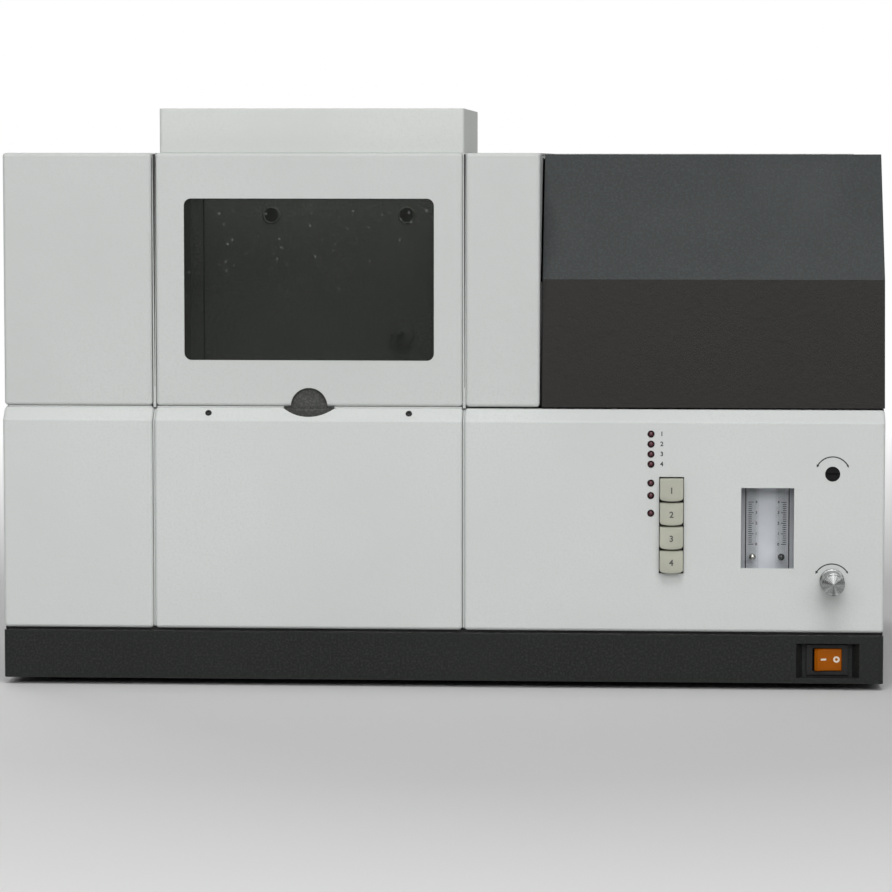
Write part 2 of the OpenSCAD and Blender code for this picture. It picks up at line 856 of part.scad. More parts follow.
// Burner bay
module chamber_liner() {
  x0 = seam_l + bay_t / 2;
  x1 = seam_r - bay_t / 2;
  y0 = frame_y + 3;
  color(grey) difference() {
    box([x0, y0, floor_z], [x1, chamber_y1, roof_z0]);
    box([x0 + liner_t, y0 - 1, floor_z + liner_t], [x1 - liner_t, chamber_y1 - liner_t, roof_z0 + 1]);
    rod_x(x0 - 1, x1 + 1, beam_y, beam_z, lens_d / 2 + touch);
    rod_z(floor_z - 1, floor_z + 3, door_cx, beam_y, neck_d / 2 + 10);
    for (x = [-port_span / 2, port_span / 2]) {
      rod_y(chamber_y1 - 3, chamber_y1 + 1, door_cx + port_shift + x, up_z1 - port_down, port_d / 2);
    }
  }
}

module beam_lenses() {
  r = lens_d / 2;
  color(glass) {
    rod_x(seam_l - 5, seam_l + 5, beam_y, beam_z, r);
    rod_x(seam_r - 5, seam_r + 5, beam_y, beam_z, r);
  }
}

module burner_head() {
  z0 = burner_z0 - 22;
  half_l = burner_l / 2;
  half_w = burner_w / 2;
  slot_l = half_l - 5;
  color(metal) difference() {
    union() {
      translate([door_cx, beam_y, 0]) box([-half_l, -half_w, burner_z0], [half_l, half_w, burner_z1]);
      rod_z(z0, burner_z0, door_cx, beam_y, neck_d / 2 + 4);
    }
    translate([door_cx, beam_y, burner_z1]) box([-slot_l, -0.5, -10], [slot_l, 0.5, 1]);
    rod_z(z0 - 1, burner_z0 - 8, door_cx, beam_y, neck_d / 2 + touch);
  }
}

module spray_chamber() {
  r = barrel_d / 2;
  neck = neck_d / 2;
  color(dark) difference() {
    union() {
      rod_x(door_cx - barrel_l / 2, door_cx + barrel_l / 2, beam_y, barrel_z, r);
      for (s = [-1, 1]) {
        rod_x(door_cx + s * barrel_l / 2 - 3, door_cx + s * barrel_l / 2 + 3, beam_y, barrel_z, r + 4);
      }
      rod_z(barrel_z, burner_z0 - 8, door_cx, beam_y, neck);
      rod_z(barrel_z - r - 14, barrel_z, door_cx + 30, beam_y, 6);
    }
    rod_x(door_cx - barrel_l / 2 + 3, door_cx + barrel_l / 2 - 3, beam_y, barrel_z, r - 4);
    rod_z(barrel_z, burner_z0, door_cx, beam_y, neck - 4);
    rod_z(barrel_z - r - 15, barrel_z, door_cx + 30, beam_y, 3.5);
  }
}

module nebulizer() {
  x1 = door_cx - barrel_l / 2 - 3;
  color(steel) difference() {
    union() {
      rod_x(x1 - 14, x1, beam_y, barrel_z, 13);
      rod_x(x1 - 36, x1 - 14, beam_y, barrel_z, 8);
      rod_x(x1 - 52, x1 - 36, beam_y, barrel_z, 2);
      rod_z(barrel_z - 24, barrel_z, x1 - 24, beam_y, 4);
    }
    rod_x(x1 - 53, x1 + 1, beam_y, barrel_z, 0.8);
  }
}

module burner_stage() {
  half = stage_w / 2;
  post_x = lift_post_w / 2 + touch;
  color(metal) translate([door_cx, 0, barrel_z]) difference() {
    box([-half, beam_y + 4, -24], [half, post_y + lift_post_d + 4, 24]);
    rod_x(-half - 1, half + 1, beam_y, 0, barrel_d / 2 + touch);
    box([-post_x, post_y - touch, -25], [post_x, post_y + lift_post_d + touch, 25]);
  }
}

module stage_post() {
  x = lift_post_w / 2;
  color(steel) translate([door_cx, post_y, base_z1]) {
    box([-x - 18, -20, 0], [x + 18, lift_post_d + 20, 8]);
    box([-x, 0, 8], [x, lift_post_d, barrel_z - base_z1 + 24 + lift + 8]);
  }
}

module igniter() {
  x = door_cx + igniter_x;
  z = beam_z + 13;
  y1 = chamber_y1 - liner_t;
  color(steel) {
    rod_y(y1 - 4, y1, x, z, 12);
    rod_y(beam_y + 18, y1 - 4, x, z, 3);
    rod_z(z - 9, z + 3, x, beam_y + 18, 3);
  }
}

// Lamp bay
module lamp_turret() {
  color(black) difference() {
    union() {
      rod_y(lamp_y0 + 36, lamp_y0 + 41, turret_x, turret_z, disc_r);
      rod_y(disc_y, disc_y + 9, turret_x, turret_z, disc_r);
      rod_y(lamp_y0 + 30, disc_y + 9, turret_x, turret_z, spindle_d / 2 + 3);
    }
    for (p = lamp_spots) {
      rod_y(lamp_y0, lamp_y0 + 60, p[0], p[1], lamp_d / 2 + touch);
    }
    rod_y(lamp_y0, disc_y + 20, turret_x, turret_z, spindle_d / 2 + touch);
  }
}

module turret_bracket() {
  x1 = seam_l - bay_t / 2;
  color(steel) {
    box([x1 - 3, arm_y - 40, turret_z - 40], [x1, arm_y + 4, turret_z + 40]);
    box([turret_x - 22, arm_y, turret_z - 22], [x1 - 2, arm_y + 4, turret_z + 22]);
    rod_y(lamp_y0 + 26, arm_y, turret_x, turret_z, spindle_d / 2);
    rod_y(disc_y + 9 + loose, arm_y, turret_x, turret_z, spindle_d / 2 + 4);
  }
}

module hollow_cathode_lamps() {
  r = lamp_d / 2;
  color(glass) for (p = lamp_spots) {
    rod_y(lamp_y0, disc_y - 28, p[0], p[1], r);
    rod_y(disc_y - 28, disc_y, p[0], p[1], r - 2);
  }
}

module fold_mirror() {
  x1 = seam_l - bay_t / 2;
  color(metal) {
    box([x1 - 3, beam_y - 22, beam_z - 44], [x1, beam_y + 22, beam_z - 18]);
    box([turret_x - 22, beam_y - 16, beam_z - 32], [x1 - 2, beam_y + 16, beam_z - 28]);
    rod_z(beam_z - 28, beam_z - 16, turret_x, beam_y, 7);
    translate([turret_x, beam_y, beam_z - 17]) rotate([0, 0, -45]) {
      box([-18, -5, 0], [18, 0, 34]);
    }
  }
}

// Monochromator
module optical_bench() {
  color(metal) difference() {
    box([bench_x0, frame_y + bench_in, bench_z0], [bench_x1, back_in - bench_in, bench_z1]);
    rod_z(bench_z0 - 1, bench_z1 + 1, grating_x, grating_y, shaft_r + touch);
  }
}

// Upright plate with a slit at the height of the light beam
module slit_plate(x, y, half) {
  translate([x, y, 0]) difference() {
    box([0, -half, bench_z1], [3, half, beam_z + 30]);
    translate([0, 0, beam_z]) box([-1, -slit_w / 2, -slit_h / 2], [4, slit_w / 2, slit_h / 2]);
  }
}

module slit_plates() {
  color(black) {
    slit_plate(seam_r + slit_in, beam_y, 25);
    slit_plate(seam_r + exit_in, exit_y, 30);
  }
}

module mono_mirrors() {
  x = right_x - mirror_in;
  half = mirror_d / 2;
  color(metal) for (y = [beam_y + 15, beam_y + 15 + mirror_span]) {
    box([x - 16, y - half, bench_z1], [x, y + half, bench_z1 + 14]);
    rod_x(x - 22, x - 10, y, beam_z, half);
    box([x - 10, y - half, bench_z1 + 14], [x, y + half, beam_z + half]);
  }
}

module grating_table() {
  half = grating_w / 2;
  color(steel) translate([grating_x, grating_y, 0]) {
    rod_z(bench_z0 - 14, bench_z1 + loose, 0, 0, shaft_r);
    rod_z(bench_z1 + loose, bench_z1 + 8, 0, 0, table_d / 2);
    translate([0, 0, bench_z1 + 8]) rotate([0, 0, 12]) {
      box([-8, -half - 1, 0], [8, half + 1, 14]);
      box([-6, -half, 14], [6, half, beam_z - bench_z1 + 20]);
    }
  }
}

module grating_motor() {
  half = motor_w / 2;
  color(black) translate([grating_x, grating_y, bench_z0]) difference() {
    box([-half, -half, -motor_h], [half, half, 0]);
    rod_z(-16, 1, 0, 0, shaft_r + touch);
  }
}

module detector_housing() {
  half = detector_w / 2;
  color(black) translate([seam_r + exit_in, exit_y, 0]) difference() {
    box([-detector_l, -half, bench_z1], [0, half, beam_z + 34]);
    translate([0, 0, beam_z]) box([30 - detector_l, -10, -14], [1, 10, 14]);
  }
}

// Power and gas supply
module power_transformer() {
  half_w = core_w / 2;
  half_d = core_d / 2;
  coil = winding_d / 2;
  color(steel) translate([(left_x + seam_l) / 2, mid_y, base_z1]) {
    box([-half_w - 2, -coil, 0], [half_w + 2, coil, 4]);
    box([-half_w, -half_d, 4], [half_w, half_d, core_h + 4]);
    box([16 - half_w, -coil, 16], [half_w - 16, coil, core_h - 8]);
  }
}

module main_board() {
  w = board_w;
  d = board_d;
  color(green) translate([seam_r + board_in, rear_y - board_back - d, base_z1 + board_up]) {
    box([0, 0, 0], [w, d, board_t]);
    for (x = [8, w - 8], y = [8, d - 8]) {
      rod_z(-board_up, 0, x, y, 4);
    }
    translate([0, 0, board_t]) {
      box([30, 40, 0], [70, 80, 6.4]);
      box([90, 80, 0], [140, 94, 20]);
      box([20, 140, 0], [140, 156, 14]);
      for (x = [40, 66, 92]) {
        rod_z(0, 28, x, 120, 10);
      }
    }
  }
}

module gas_manifold() {
  y = front_y + manifold_back;
  half_w = manifold_w / 2;
  half_d = manifold_d / 2;
  color(metal) translate([right_x - manifold_in - half_w, y + half_d, base_z1]) {
    box([-half_w, -half_d, 0], [half_w, half_d, manifold_h]);
    for (x = [-coil_pitch, 0, coil_pitch]) {
      box([x - 13, 10 - half_d, manifold_h], [x + 13, half_d - 10, manifold_h + 42]);
      rod_z(manifold_h + 42, manifold_h + 48, x, 0, 8);
    }
  }
}

module valve_bodies() {
  y0 = front_y + sheet;
  y1 = y0 + valve_len;
  color([0.72, 0.60, 0.34]) difference() {
    union() {
      for (z = [fuel_z, oxidant_z]) {
        rod_y(y0, y1 - 18, gas_x, z, valve_d / 2);
        rod_y(y1 - 18, y1, gas_x, z, valve_d / 2 - 3);
      }
    }
    for (z = [fuel_z, oxidant_z]) {
      rod_y(y0 - 1, y1 - 8, gas_x, z, stem_d / 2 + touch);
    }
    rod_y(y0 - 1, y0 + 5 + loose, gas_x, oxidant_z, adjuster_d / 2 + touch);
  }
}

module fuel_knob() {
  y1 = front_y - knob_gap;
  y0 = y1 - knob_len;
  color(metal) difference() {
    union() {
      rod_y(y0, y1 - 4, gas_x, fuel_z, knob_d / 2 - 1);
      rod_y(y1 - 4, y1, gas_x, fuel_z, knob_d / 2);
      rod_y(y1, front_y + sheet + valve_len - 10, gas_x, fuel_z, stem_d / 2);
    }
    for (a = [0:15:345]) {
      translate([gas_x, y0 - 1, fuel_z]) rotate([-90, a, 0]) {
        translate([knob_d / 2 - 0.7, 0, 0]) cylinder(h = knob_len - 6, r = 0.7);
      }
    }
  }
}

module oxidant_adjuster() {
  y0 = front_y + 0.6;
  y1 = front_y + sheet + 5;
  slot_l = adjuster_d / 2 - 1.5;
  color(black) difference() {
    union() {
      rod_y(y0, y1, gas_x, oxidant_z, adjuster_d / 2);
      rod_y(y1, front_y + sheet + valve_len - 10, gas_x, oxidant_z, stem_d / 2);
    }
    translate([gas_x, y0, oxidant_z]) box([-slot_l, -1, -0.7], [slot_l, 1.5, 0.7]);
  }
}

module flow_tubes() {
  color(glass) for (s = [-1, 1]) {
    x = meter_x + s * tube_gap / 2;
    difference() {
      box([x - tube_w / 2, tube_y0, meter_z0 - 6], [x + tube_w / 2, tube_y1, meter_z1 + 6]);
      rod_z(seat_z, meter_z1 + 3, x, float_y, bore_r);
      rod_z(meter_z0 - 7, seat_z + 1, x, float_y, 1);
      rod_z(meter_z1, meter_z1 + 7, x, float_y, 1);
    }
  }
}

module flow_frame() {
  x0 = meter_x - flow_w / 2 - 3;
  x1 = meter_x + flow_w / 2 + 3;
  y0 = front_y + sheet;
  color([0.86, 0.87, 0.90]) difference() {
    box([x0, y0, meter_z0 - 18], [x1, tube_y1 + 3, meter_z1 + 18]);
    box([x0 - 1, y0 - 1, meter_z0 - 6], [x1 + 1, tube_y1, meter_z1 + 6]);
    for (s = [-1, 1]) {
      rod_z(meter_z0 - 19, meter_z0 - 5, meter_x + s * tube_gap / 2, float_y, 1);
      rod_z(meter_z1 + 5, meter_z1 + 19, meter_x + s * tube_gap / 2, float_y, 1);
    }
  }
}

module fuel_float() {
  color(steel) translate([meter_x - tube_gap / 2, float_y, float_z]) sphere(float_d / 2);
}

module air_float() {
  color(black) translate([meter_x + tube_gap / 2, float_y, float_z]) sphere(float_d / 2);
}

module indicator_lamps() {
  color([0.34, 0.14, 0.16]) for (z = led_z) {
    translate([leds_x, front_y + 1.2, low_z0 + z]) {
      sphere(led_d / 2);
      rod_y(0, sheet + 4, 0, 0, led_d / 2);
      rod_y(sheet - 1.2, sheet, 0, 0, led_d / 2 + 0.4);
    }
  }
}

// Keys
module key_frame() {
  y0 = front_y + sheet;
  y1 = key_y1 + key_travel + 4;
  color(black) difference() {
    box([keys_x - slot_w / 2 - 3, y0, keys_z - 4], [keys_x + slot_w / 2 + 3, y1, keys_z + slot_h + 4]);
    box([keys_x - slot_w / 2, y0 - 1, keys_z], [keys_x + slot_w / 2, y1 - 3, keys_z + slot_h]);
  }
}

module key(i) {
  z0 = keys_z + key_gap + i * key_pitch;
  z1 = z0 + key_pitch - key_gap;
  y0 = front_y - key_out;
  color(cream) along_x(keys_x - key_w / 2, keys_x + key_w / 2, [
    [y0, z0 + 1],
    [y0 + 1.5, z0],
    [key_y1, z0],
    [key_y1, z1],
    [y0 + 4.5, z1],
    [y0 + 2.2, z1 - 1.5],
    [y0 + 0.5, z0 + 6]
  ]);
}

module gas_select_key() {
  key(3);
}

module ignite_key() {
  key(2);
}

module check_key() {
  key(1);
}

module close_key() {
  key(0);
}

// Power switch
module switch_body() {
  x = well_w / 2;
  z = well_h / 2;
  color(black) translate([pocket_x, pocket_y, pocket_z]) difference() {
    union() {
      box([-x - 5, -2.2, -z - 3], [x + 5, 0, z + 3]);
      box([-x - 2, -1, -z - 1.4], [x + 2, 18, z + 1.4]);
    }
    box([-x, -3, -z], [x, 10, z]);
    rod_z(-z - 1, z + 1, 0, pivot_y - pocket_y, screw_r + touch);
  }
}

module power_rocker() {
  w = rocker_w / 2;
  h = rocker_h / 2;
  color([0.62, 0.36, 0.08]) translate([pocket_x, pivot_y, pocket_z]) rotate([0, 0, rocker_tilt]) {
    translate([0, 0, -h]) linear_extrude(height = 2 * h) polygon([
      [-w, -5.6], [0, -3.8], [w, -5.6], [w - 1, 1], [5, 5], [-5, 5], [1 - w, 1]
    ]);
    rod_z(-h - 1, h + 1, 0, 0, screw_r);
  }
}

// Back connections and fan
module mains_inlet() {
  color(black) translate([plug_x, rear_y, plug_z]) {
    difference() {
      union() {
        box([-26, 0, -16], [26, 2, 16]);
        box([-23, -sheet - 24, -13.5], [23, 0, 13.5]);
      }
      box([-13, -18, -9], [13, 3, 9]);
    }
    for (p = [[-7, -2], [0, 3], [7, -2]]) {
      translate([p[0], 0, p[1]]) box([-1, -18, -2], [1, -7, 2]);
    }
  }
}

module gas_inlets() {
  color(steel) for (p = inlets) {
    translate([p[0], 0, p[1]]) difference() {
      union() {
        translate([0, rear_y, 0]) rotate([-90, 0, 0]) cylinder(h = 8, r = 9, $fn = 6);
        rod_y(rear_y + 8, rear_y + inlet_len, 0, 0, tail_d / 2);
        rod_y(back_in - 14, rear_y, 0, 0, shaft_r);
        translate([0, back_in - 8, 0]) rotate([-90, 0, 0]) cylinder(h = 8, r = 10, $fn = 6);
      }
      rod_y(back_in - 15, rear_y + inlet_len + 1, 0, 0, tail_d / 4);
    }
  }
}

module fan_frame() {
  half = fan_w / 2;
  color(black) translate([fan_x, 0, fan_z]) {
    difference() {
      box([-half, fan_y, -half], [half, back_in, half]);
      rod_y(fan_y - 1, back_in + 1, 0, 0, fan_r);
    }
    box([-fan_r - 1, fan_y, -3], [fan_r + 1, fan_y + 3, 3]);
    box([-3, fan_y, -fan_r - 1], [3, fan_y + 3, fan_r + 1]);
    rod_y(fan_y, fan_y + 5, 0, 0, 17);
    rod_y(fan_y + 5, fan_y + 20, 0, 0, 2);
  }
}

module fan_rotor() {
  y0 = fan_y + 5 + loose;
  y1 = fan_y + 22;
  color(dark) difference() {
    union() {
      rod_y(y0, y1, fan_x, fan_z, 18);
      for (i = [0:6]) {
        translate([fan_x, (y0 + y1) / 2, fan_z]) rotate([0, i * 360 / 7, 0]) {
          translate([16, 0, 0]) rotate([38, 0, 0]) box([0, -1, -9], [fan_r - 18, 1, 9]);
        }
      }
    }
    rod_y(y0 - 1, y1 - 1.5, fan_x, fan_z, 2 + touch);
  }
}

base_tray();
chassis_deck();
rubber_feet();
left_side_panel();
right_side_panel();
rear_panel();
lamp_top_cover();
burner_top_cover();
chimney();
mono_cover();
column_cover();
lower_left_panel();
lower_centre_panel();
control_panel();
cover_screws();
bulkheads();
chamber_liner();
hinge_pins();
lamp_door();
burner_door();
door_window();
lamp_turret();
turret_bracket();
hollow_cathode_lamps();
fold_mirror();
beam_lenses();
burner_head();
burner_stage();
stage_post();
spray_chamber();
nebulizer();
igniter();
optical_bench();
slit_plates();
mono_mirrors();
grating_table();
grating_motor();
detector_housing();
power_transformer();
main_board();
gas_manifold();
valve_bodies();
fuel_knob();
oxidant_adjuster();
flow_tubes();
flow_frame();
fuel_float();
air_float();
indicator_lamps();
key_frame();
gas_select_key();
ignite_key();
check_key();
close_key();
switch_body();
power_rocker();
mains_inlet();
gas_inlets();
fan_frame();
fan_rotor();
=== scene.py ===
import json
import math
import bmesh
import bpy
import numpy as np
from mathutils import Matrix, Vector


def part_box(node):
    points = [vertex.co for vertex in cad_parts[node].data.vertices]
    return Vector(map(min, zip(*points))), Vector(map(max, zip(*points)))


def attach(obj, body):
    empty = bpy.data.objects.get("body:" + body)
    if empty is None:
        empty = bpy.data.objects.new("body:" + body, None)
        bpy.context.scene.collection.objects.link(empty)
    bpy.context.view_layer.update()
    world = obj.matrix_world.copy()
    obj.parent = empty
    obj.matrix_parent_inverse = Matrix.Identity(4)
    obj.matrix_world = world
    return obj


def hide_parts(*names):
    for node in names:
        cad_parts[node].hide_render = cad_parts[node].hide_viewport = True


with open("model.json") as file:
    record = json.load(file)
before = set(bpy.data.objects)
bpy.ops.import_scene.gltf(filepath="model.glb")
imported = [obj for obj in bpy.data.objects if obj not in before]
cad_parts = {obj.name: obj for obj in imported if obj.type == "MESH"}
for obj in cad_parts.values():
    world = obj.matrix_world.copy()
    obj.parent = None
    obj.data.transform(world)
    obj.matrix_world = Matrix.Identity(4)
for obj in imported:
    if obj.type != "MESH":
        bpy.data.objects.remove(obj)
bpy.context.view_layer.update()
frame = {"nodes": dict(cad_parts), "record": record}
nodes = frame["nodes"]
print("frame loaded:", len(nodes), "solids")


# Surfaces: a patch is points in millimetres, faces as rows of point numbers, and two map numbers per point

def nodeBox(name):  # lowest and highest corner of a solid, in millimetres
    low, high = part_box(name)
    return np.array(low) * 1000, np.array(high) * 1000


def nodeMiddle(name):  # halfway between those corners
    low, high = nodeBox(name)
    return (low + high) / 2


def gridFaces(rows, cols, closed=True):
    # four-sided faces between neighbours on a grid, joined round where closed
    i, j = np.meshgrid(np.arange(rows - 1), np.arange(cols if closed else cols - 1), indexing="ij")
    across = (j + 1) % cols
    corners = [i * cols + j, i * cols + across, (i + 1) * cols + across, (i + 1) * cols + j]
    return np.stack(corners, -1).reshape(-1, 4)


def gridPatch(points, closed=True, uv=None):  # a rows by columns by 3 array as one patch
    rows, cols = points.shape[:2]
    uv = np.zeros((rows, cols, 2)) if uv is None else uv
    return points.reshape(-1, 3), gridFaces(rows, cols, closed), uv.reshape(-1, 2)


def closedTube(rings):  # rows that are rings, closed to the middle of the first and of the last
    ends = [np.broadcast_to(ring.mean(0), ring.shape)[None] for ring in (rings[0], rings[-1])]
    return gridPatch(np.concatenate([ends[0], rings, ends[1]]))


def joinPatches(patches):  # puts patches one after the other, with their point numbers moved up
    points, faces, maps, start = [], [], [], 0
    for p, f, uv in patches:
        points.append(p)
        maps.append(uv)
        faces += (f + start).tolist()
        start += len(p)
    return np.concatenate(points), faces, np.concatenate(maps)


def roundRect(width, height, radius, steps=7):
    # four quarter circles set in from a rectangle's corners; radius is one number, or one for each corner
    r = np.broadcast_to(np.asarray(radius, float), 4)
    turn = np.concatenate([np.linspace(0, np.pi / 2, steps) + q * np.pi / 2 for q in range(4)])
    way = np.stack([np.cos(turn), np.sin(turn)], 1)
    corner = np.array([[1, 1], [-1, 1], [-1, -1], [1, -1]]) * (np.array([width, height]) / 2 - r[:, None])
    return np.repeat(corner, steps, 0) + np.repeat(r, steps)[:, None] * way


def resampled(outline, count):  # points at even steps along the length of a closed outline
    loop = np.concatenate([outline, outline[:1]])
    gone = np.concatenate([[0], np.cumsum(np.linalg.norm(np.diff(loop, axis=0), axis=1))])
    at = np.linspace(0, gone[-1], count, endpoint=False)
    return np.stack([np.interp(at, gone, loop[:, k]) for k in (0, 1)], 1)


def unitRows(rows):  # each row brought to a length of one
    return rows / np.maximum(np.linalg.norm(rows, axis=1, keepdims=True), 1e-9)


def outwardWays(outline):  # at each point, the chord between its neighbours turned a quarter to the outside
    chord = np.roll(outline, -1, 0) - np.roll(outline, 1, 0)
    way = unitRows(np.stack([chord[:, 1], -chord[:, 0]], 1))
    x, y = outline.T
    turnsLeft = np.sum(x * np.roll(y, -1) - np.roll(x, -1) * y) > 0
    return way if turnsLeft else -way


def standUp(flat, depth, axis):  # a flat outline and a depth along the given axis become points
    depth = np.broadcast_to(np.asarray(depth, float), flat.shape[:-1])
    u, v = flat[..., 0], flat[..., 1]
    return np.stack({"x": (depth, u, v), "y": (u, depth, v), "z": (u, v, depth)}[axis], -1)


def softPrism(outline, start, end, radius, axis="y", steps=4, lift=None):
    # the outline pulled from start to end, set in along a quarter circle at both ends and closed to its
    # middle; lift is a depth added at the start by place on the outline, for a face that leans or is dished
    way = outwardWays(outline)
    bend = np.linspace(0, np.pi / 2, steps)
    step = np.sign(end - start) * radius
    inset = radius * np.concatenate([1 - np.sin(bend), 1 - np.cos(bend)])
    depth = np.concatenate([start + step * (1 - np.cos(bend)), end - step * (1 - np.sin(bend))])
    flat = outline[None] - way[None] * inset[:, None, None]
    middle = outline.mean(0)
    shares = np.array([0.0, 0.35, 0.7])  # rings of the end faces
    caps = [middle + (ring - middle) * shares[:, None, None] for ring in (flat[:1], flat[-1:])]
    flat = np.concatenate([caps[0], flat, caps[1][::-1]])
    depth = np.concatenate([np.full(len(shares), start), depth, np.full(len(shares), end)])
    deep = np.broadcast_to(depth[:, None], flat.shape[:2]).astype(float)
    if lift:
        front = slice(steps + len(shares))
        deep[front] += lift(flat[front, :, 0], flat[front, :, 1])
    return gridPatch(standUp(flat, deep, axis))


def turned(profile, centre=(0, 0, 0), axis="y", count=48, ripple=None):
    # each row of the profile, a place along the axis and a radius, is carried round a circle;
    # ripple multiplies the radius by a factor of row number and angle
    along, radius = np.asarray(profile, float).T
    angle = np.linspace(0, 2 * np.pi, count + 1)
    row = np.arange(len(along))[:, None]
    reach = radius[:, None] * (np.ones((1, count + 1)) if ripple is None else ripple(row, angle[None]))
    flat = np.stack([reach * np.cos(angle), reach * np.sin(angle)], -1)
    uv = np.stack(np.broadcast_arrays(angle[None] / (2 * np.pi), row / (len(along) - 1)), -1)
    return gridPatch(standUp(flat, along[:, None], axis) + np.asarray(centre, float), False, uv)


def ribbon(path, halfWidth, front, back):
    # a four-cornered section carried along a path in the front plane, as wide as halfWidth says at each
    # point, closed to a point at both ends; front and back are depths, or formulas of place
    along = np.gradient(path, axis=0)
    side = unitRows(np.stack([-along[:, 1], along[:, 0]], 1))
    reach = side * np.broadcast_to(np.asarray(halfWidth, float), len(path))[:, None]
    flat = np.stack([path + reach, path - reach, path - reach, path + reach], 1)
    deep = [d(flat[:, k, 0], flat[:, k, 1]) if callable(d) else np.full(len(path), d)
            for k, d in enumerate((front, front, back, back))]
    return closedTube(standUp(flat, np.stack(deep, 1), "y"))


def arcPath(centre, radius, degrees):  # points on a circle at the given angles
    angle = np.radians(degrees)
    return np.asarray(centre, float) + radius * np.stack([np.cos(angle), np.sin(angle)], 1)


def placed(patch, shift=(0, 0, 0), turn=0.0, axis="z"):  # a patch turned by degrees, then shifted
    matrix = np.array(Matrix.Rotation(math.radians(turn), 3, axis.upper()))
    return patch[0] @ matrix.T + np.asarray(shift, float), patch[1], patch[2]


def figures(text, size, centre, depth, bold=0.0, raised=0.03):
    # plain figures from the built-in typeface, stood in the front plane round a centre;
    # depth is a number or a formula of place
    curve = bpy.data.curves.new("figure", "FONT")
    curve.body, curve.size, curve.extrude, curve.resolution_u = text, size, raised, 4
    curve.align_x, curve.align_y, curve.offset = "CENTER", "CENTER", bold
    holder = bpy.data.objects.new("figure", curve)
    bpy.context.scene.collection.objects.link(holder)
    bpy.context.view_layer.update()
    mesh = holder.evaluated_get(bpy.context.evaluated_depsgraph_get()).to_mesh()
    mesh.calc_loop_triangles()
    flat = np.zeros(len(mesh.vertices) * 3)
    faces = np.zeros(len(mesh.loop_triangles) * 3, dtype=np.int32)
    mesh.vertices.foreach_get("co", flat)
    mesh.loop_triangles.foreach_get("vertices", faces)
    bpy.data.objects.remove(holder)
    bpy.data.curves.remove(curve)
    flat = flat.reshape(-1, 3)
    x, z = flat[:, 0] + centre[0], flat[:, 1] + centre[1]
    y = (depth(x, z) if callable(depth) else depth) - flat[:, 2]
    return np.stack([x, y, z], -1), faces.reshape(-1, 3), np.zeros((len(flat), 2))


def addPiece(name, patches, body, slotName, replaced=None, finish=None):
    # joins the patches, closes their seams and poles, turns the faces outwards and rides on the body
    points, faces, maps = joinPatches(patches)
    mesh = bpy.data.meshes.new(name)
    mesh.from_pydata((points / 1000).tolist(), [], faces)
    corner = np.zeros(len(mesh.loops), dtype=np.int32)
    mesh.loops.foreach_get("vertex_index", corner)
    mesh.uv_layers.new(name="turn").data.foreach_set("uv", maps[corner].ravel())
    work = bmesh.new()
    work.from_mesh(mesh)
    bmesh.ops.remove_doubles(work, verts=work.verts, dist=2e-6)
    bmesh.ops.dissolve_degenerate(work, edges=work.edges, dist=1e-7)
    bmesh.ops.recalc_face_normals(work, faces=work.faces)
    work.to_mesh(mesh)
    work.free()
    mesh.shade_smooth()
    mesh.set_sharp_from_angle(angle=math.radians(35))
    piece = bpy.data.objects.new(name, mesh)
    bpy.context.scene.collection.objects.link(piece)
    mesh.materials.append(finish or finishes[slotName])
    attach(piece, body)
    if replaced:
        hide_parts(replaced)


# Finishes

def setSockets(node, values):  # numbers and colours on a node's own sockets, by name
    for key, value in values.items():
        node.inputs[key.replace("_", " ")].default_value = value
    return node


class NodeSet:  # a node tree, with the few node groups that the finishes, the floor and the world share
    def __init__(self, tree, coordinates):
        self.tree = tree
        self.place = self.node("TexCoord").outputs[coordinates]

    def node(self, kind, **values):
        return setSockets(self.tree.nodes.new("ShaderNode" + kind), values)

    def link(self, source, target):
        self.tree.links.new(source, target)

    def fed(self, node, place=None):  # the node, fed with coordinates
        self.link(place or self.place, node.inputs["Vector"])
        return node

    def stretched(self, scale, place=None):  # coordinates drawn out by a factor on each axis
        return self.fed(self.node("Mapping", Scale=scale), place).outputs["Vector"]

    def along(self, axis, place=None):  # one of the coordinates
        return self.fed(self.node("SeparateXYZ"), place).outputs[axis]

    def pieceMap(self):  # the piece's own map: turns round the axis, and rows of the profile
        node = self.node("UVMap")
        node.uv_map = "turn"
        return node.outputs[0]

    def noise(self, scale, detail=2.0, place=None, distortion=0.0):  # soft clouds or grain
        node = self.node("TexNoise", Scale=scale, Detail=detail, Distortion=distortion)
        return self.fed(node, place).outputs["Fac"]

    def cells(self, scale):  # distance to the nearest of scattered points
        return self.fed(self.node("TexVoronoi", Scale=scale)).outputs["Distance"]

    def ranged(self, value, low, high, outLow=0.0, outHigh=1.0):  # one range carried to another
        node = self.node("MapRange", From_Min=low, From_Max=high, To_Min=outLow, To_Max=outHigh)
        self.link(value, node.inputs["Value"])
        return node.outputs["Result"]

    def both(self, first, second, kind="MULTIPLY"):  # two values in one
        node = self.node("Math")
        node.operation = kind
        self.link(first, node.inputs[0])
        self.link(second, node.inputs[1])
        return node.outputs[0]

    def seen(self, *kinds):  # one where a ray is of any of the given kinds
        rays = self.node("LightPath").outputs
        share = rays[kinds[0]]
        for kind in kinds[1:]:
            share = self.both(share, rays[kind], "MAXIMUM")
        return share

    def blend(self, share, first, second):  # mixes two colours, each a tuple or a socket
        node = self.node("Mix")
        node.data_type = "RGBA"
        self.link(share, node.inputs[0])
        for socket, colour in ((node.inputs[6], first), (node.inputs[7], second)):
            if isinstance(colour, tuple):
                socket.default_value = (*colour, 1)
            else:
                self.link(colour, socket)
        return node.outputs[2]


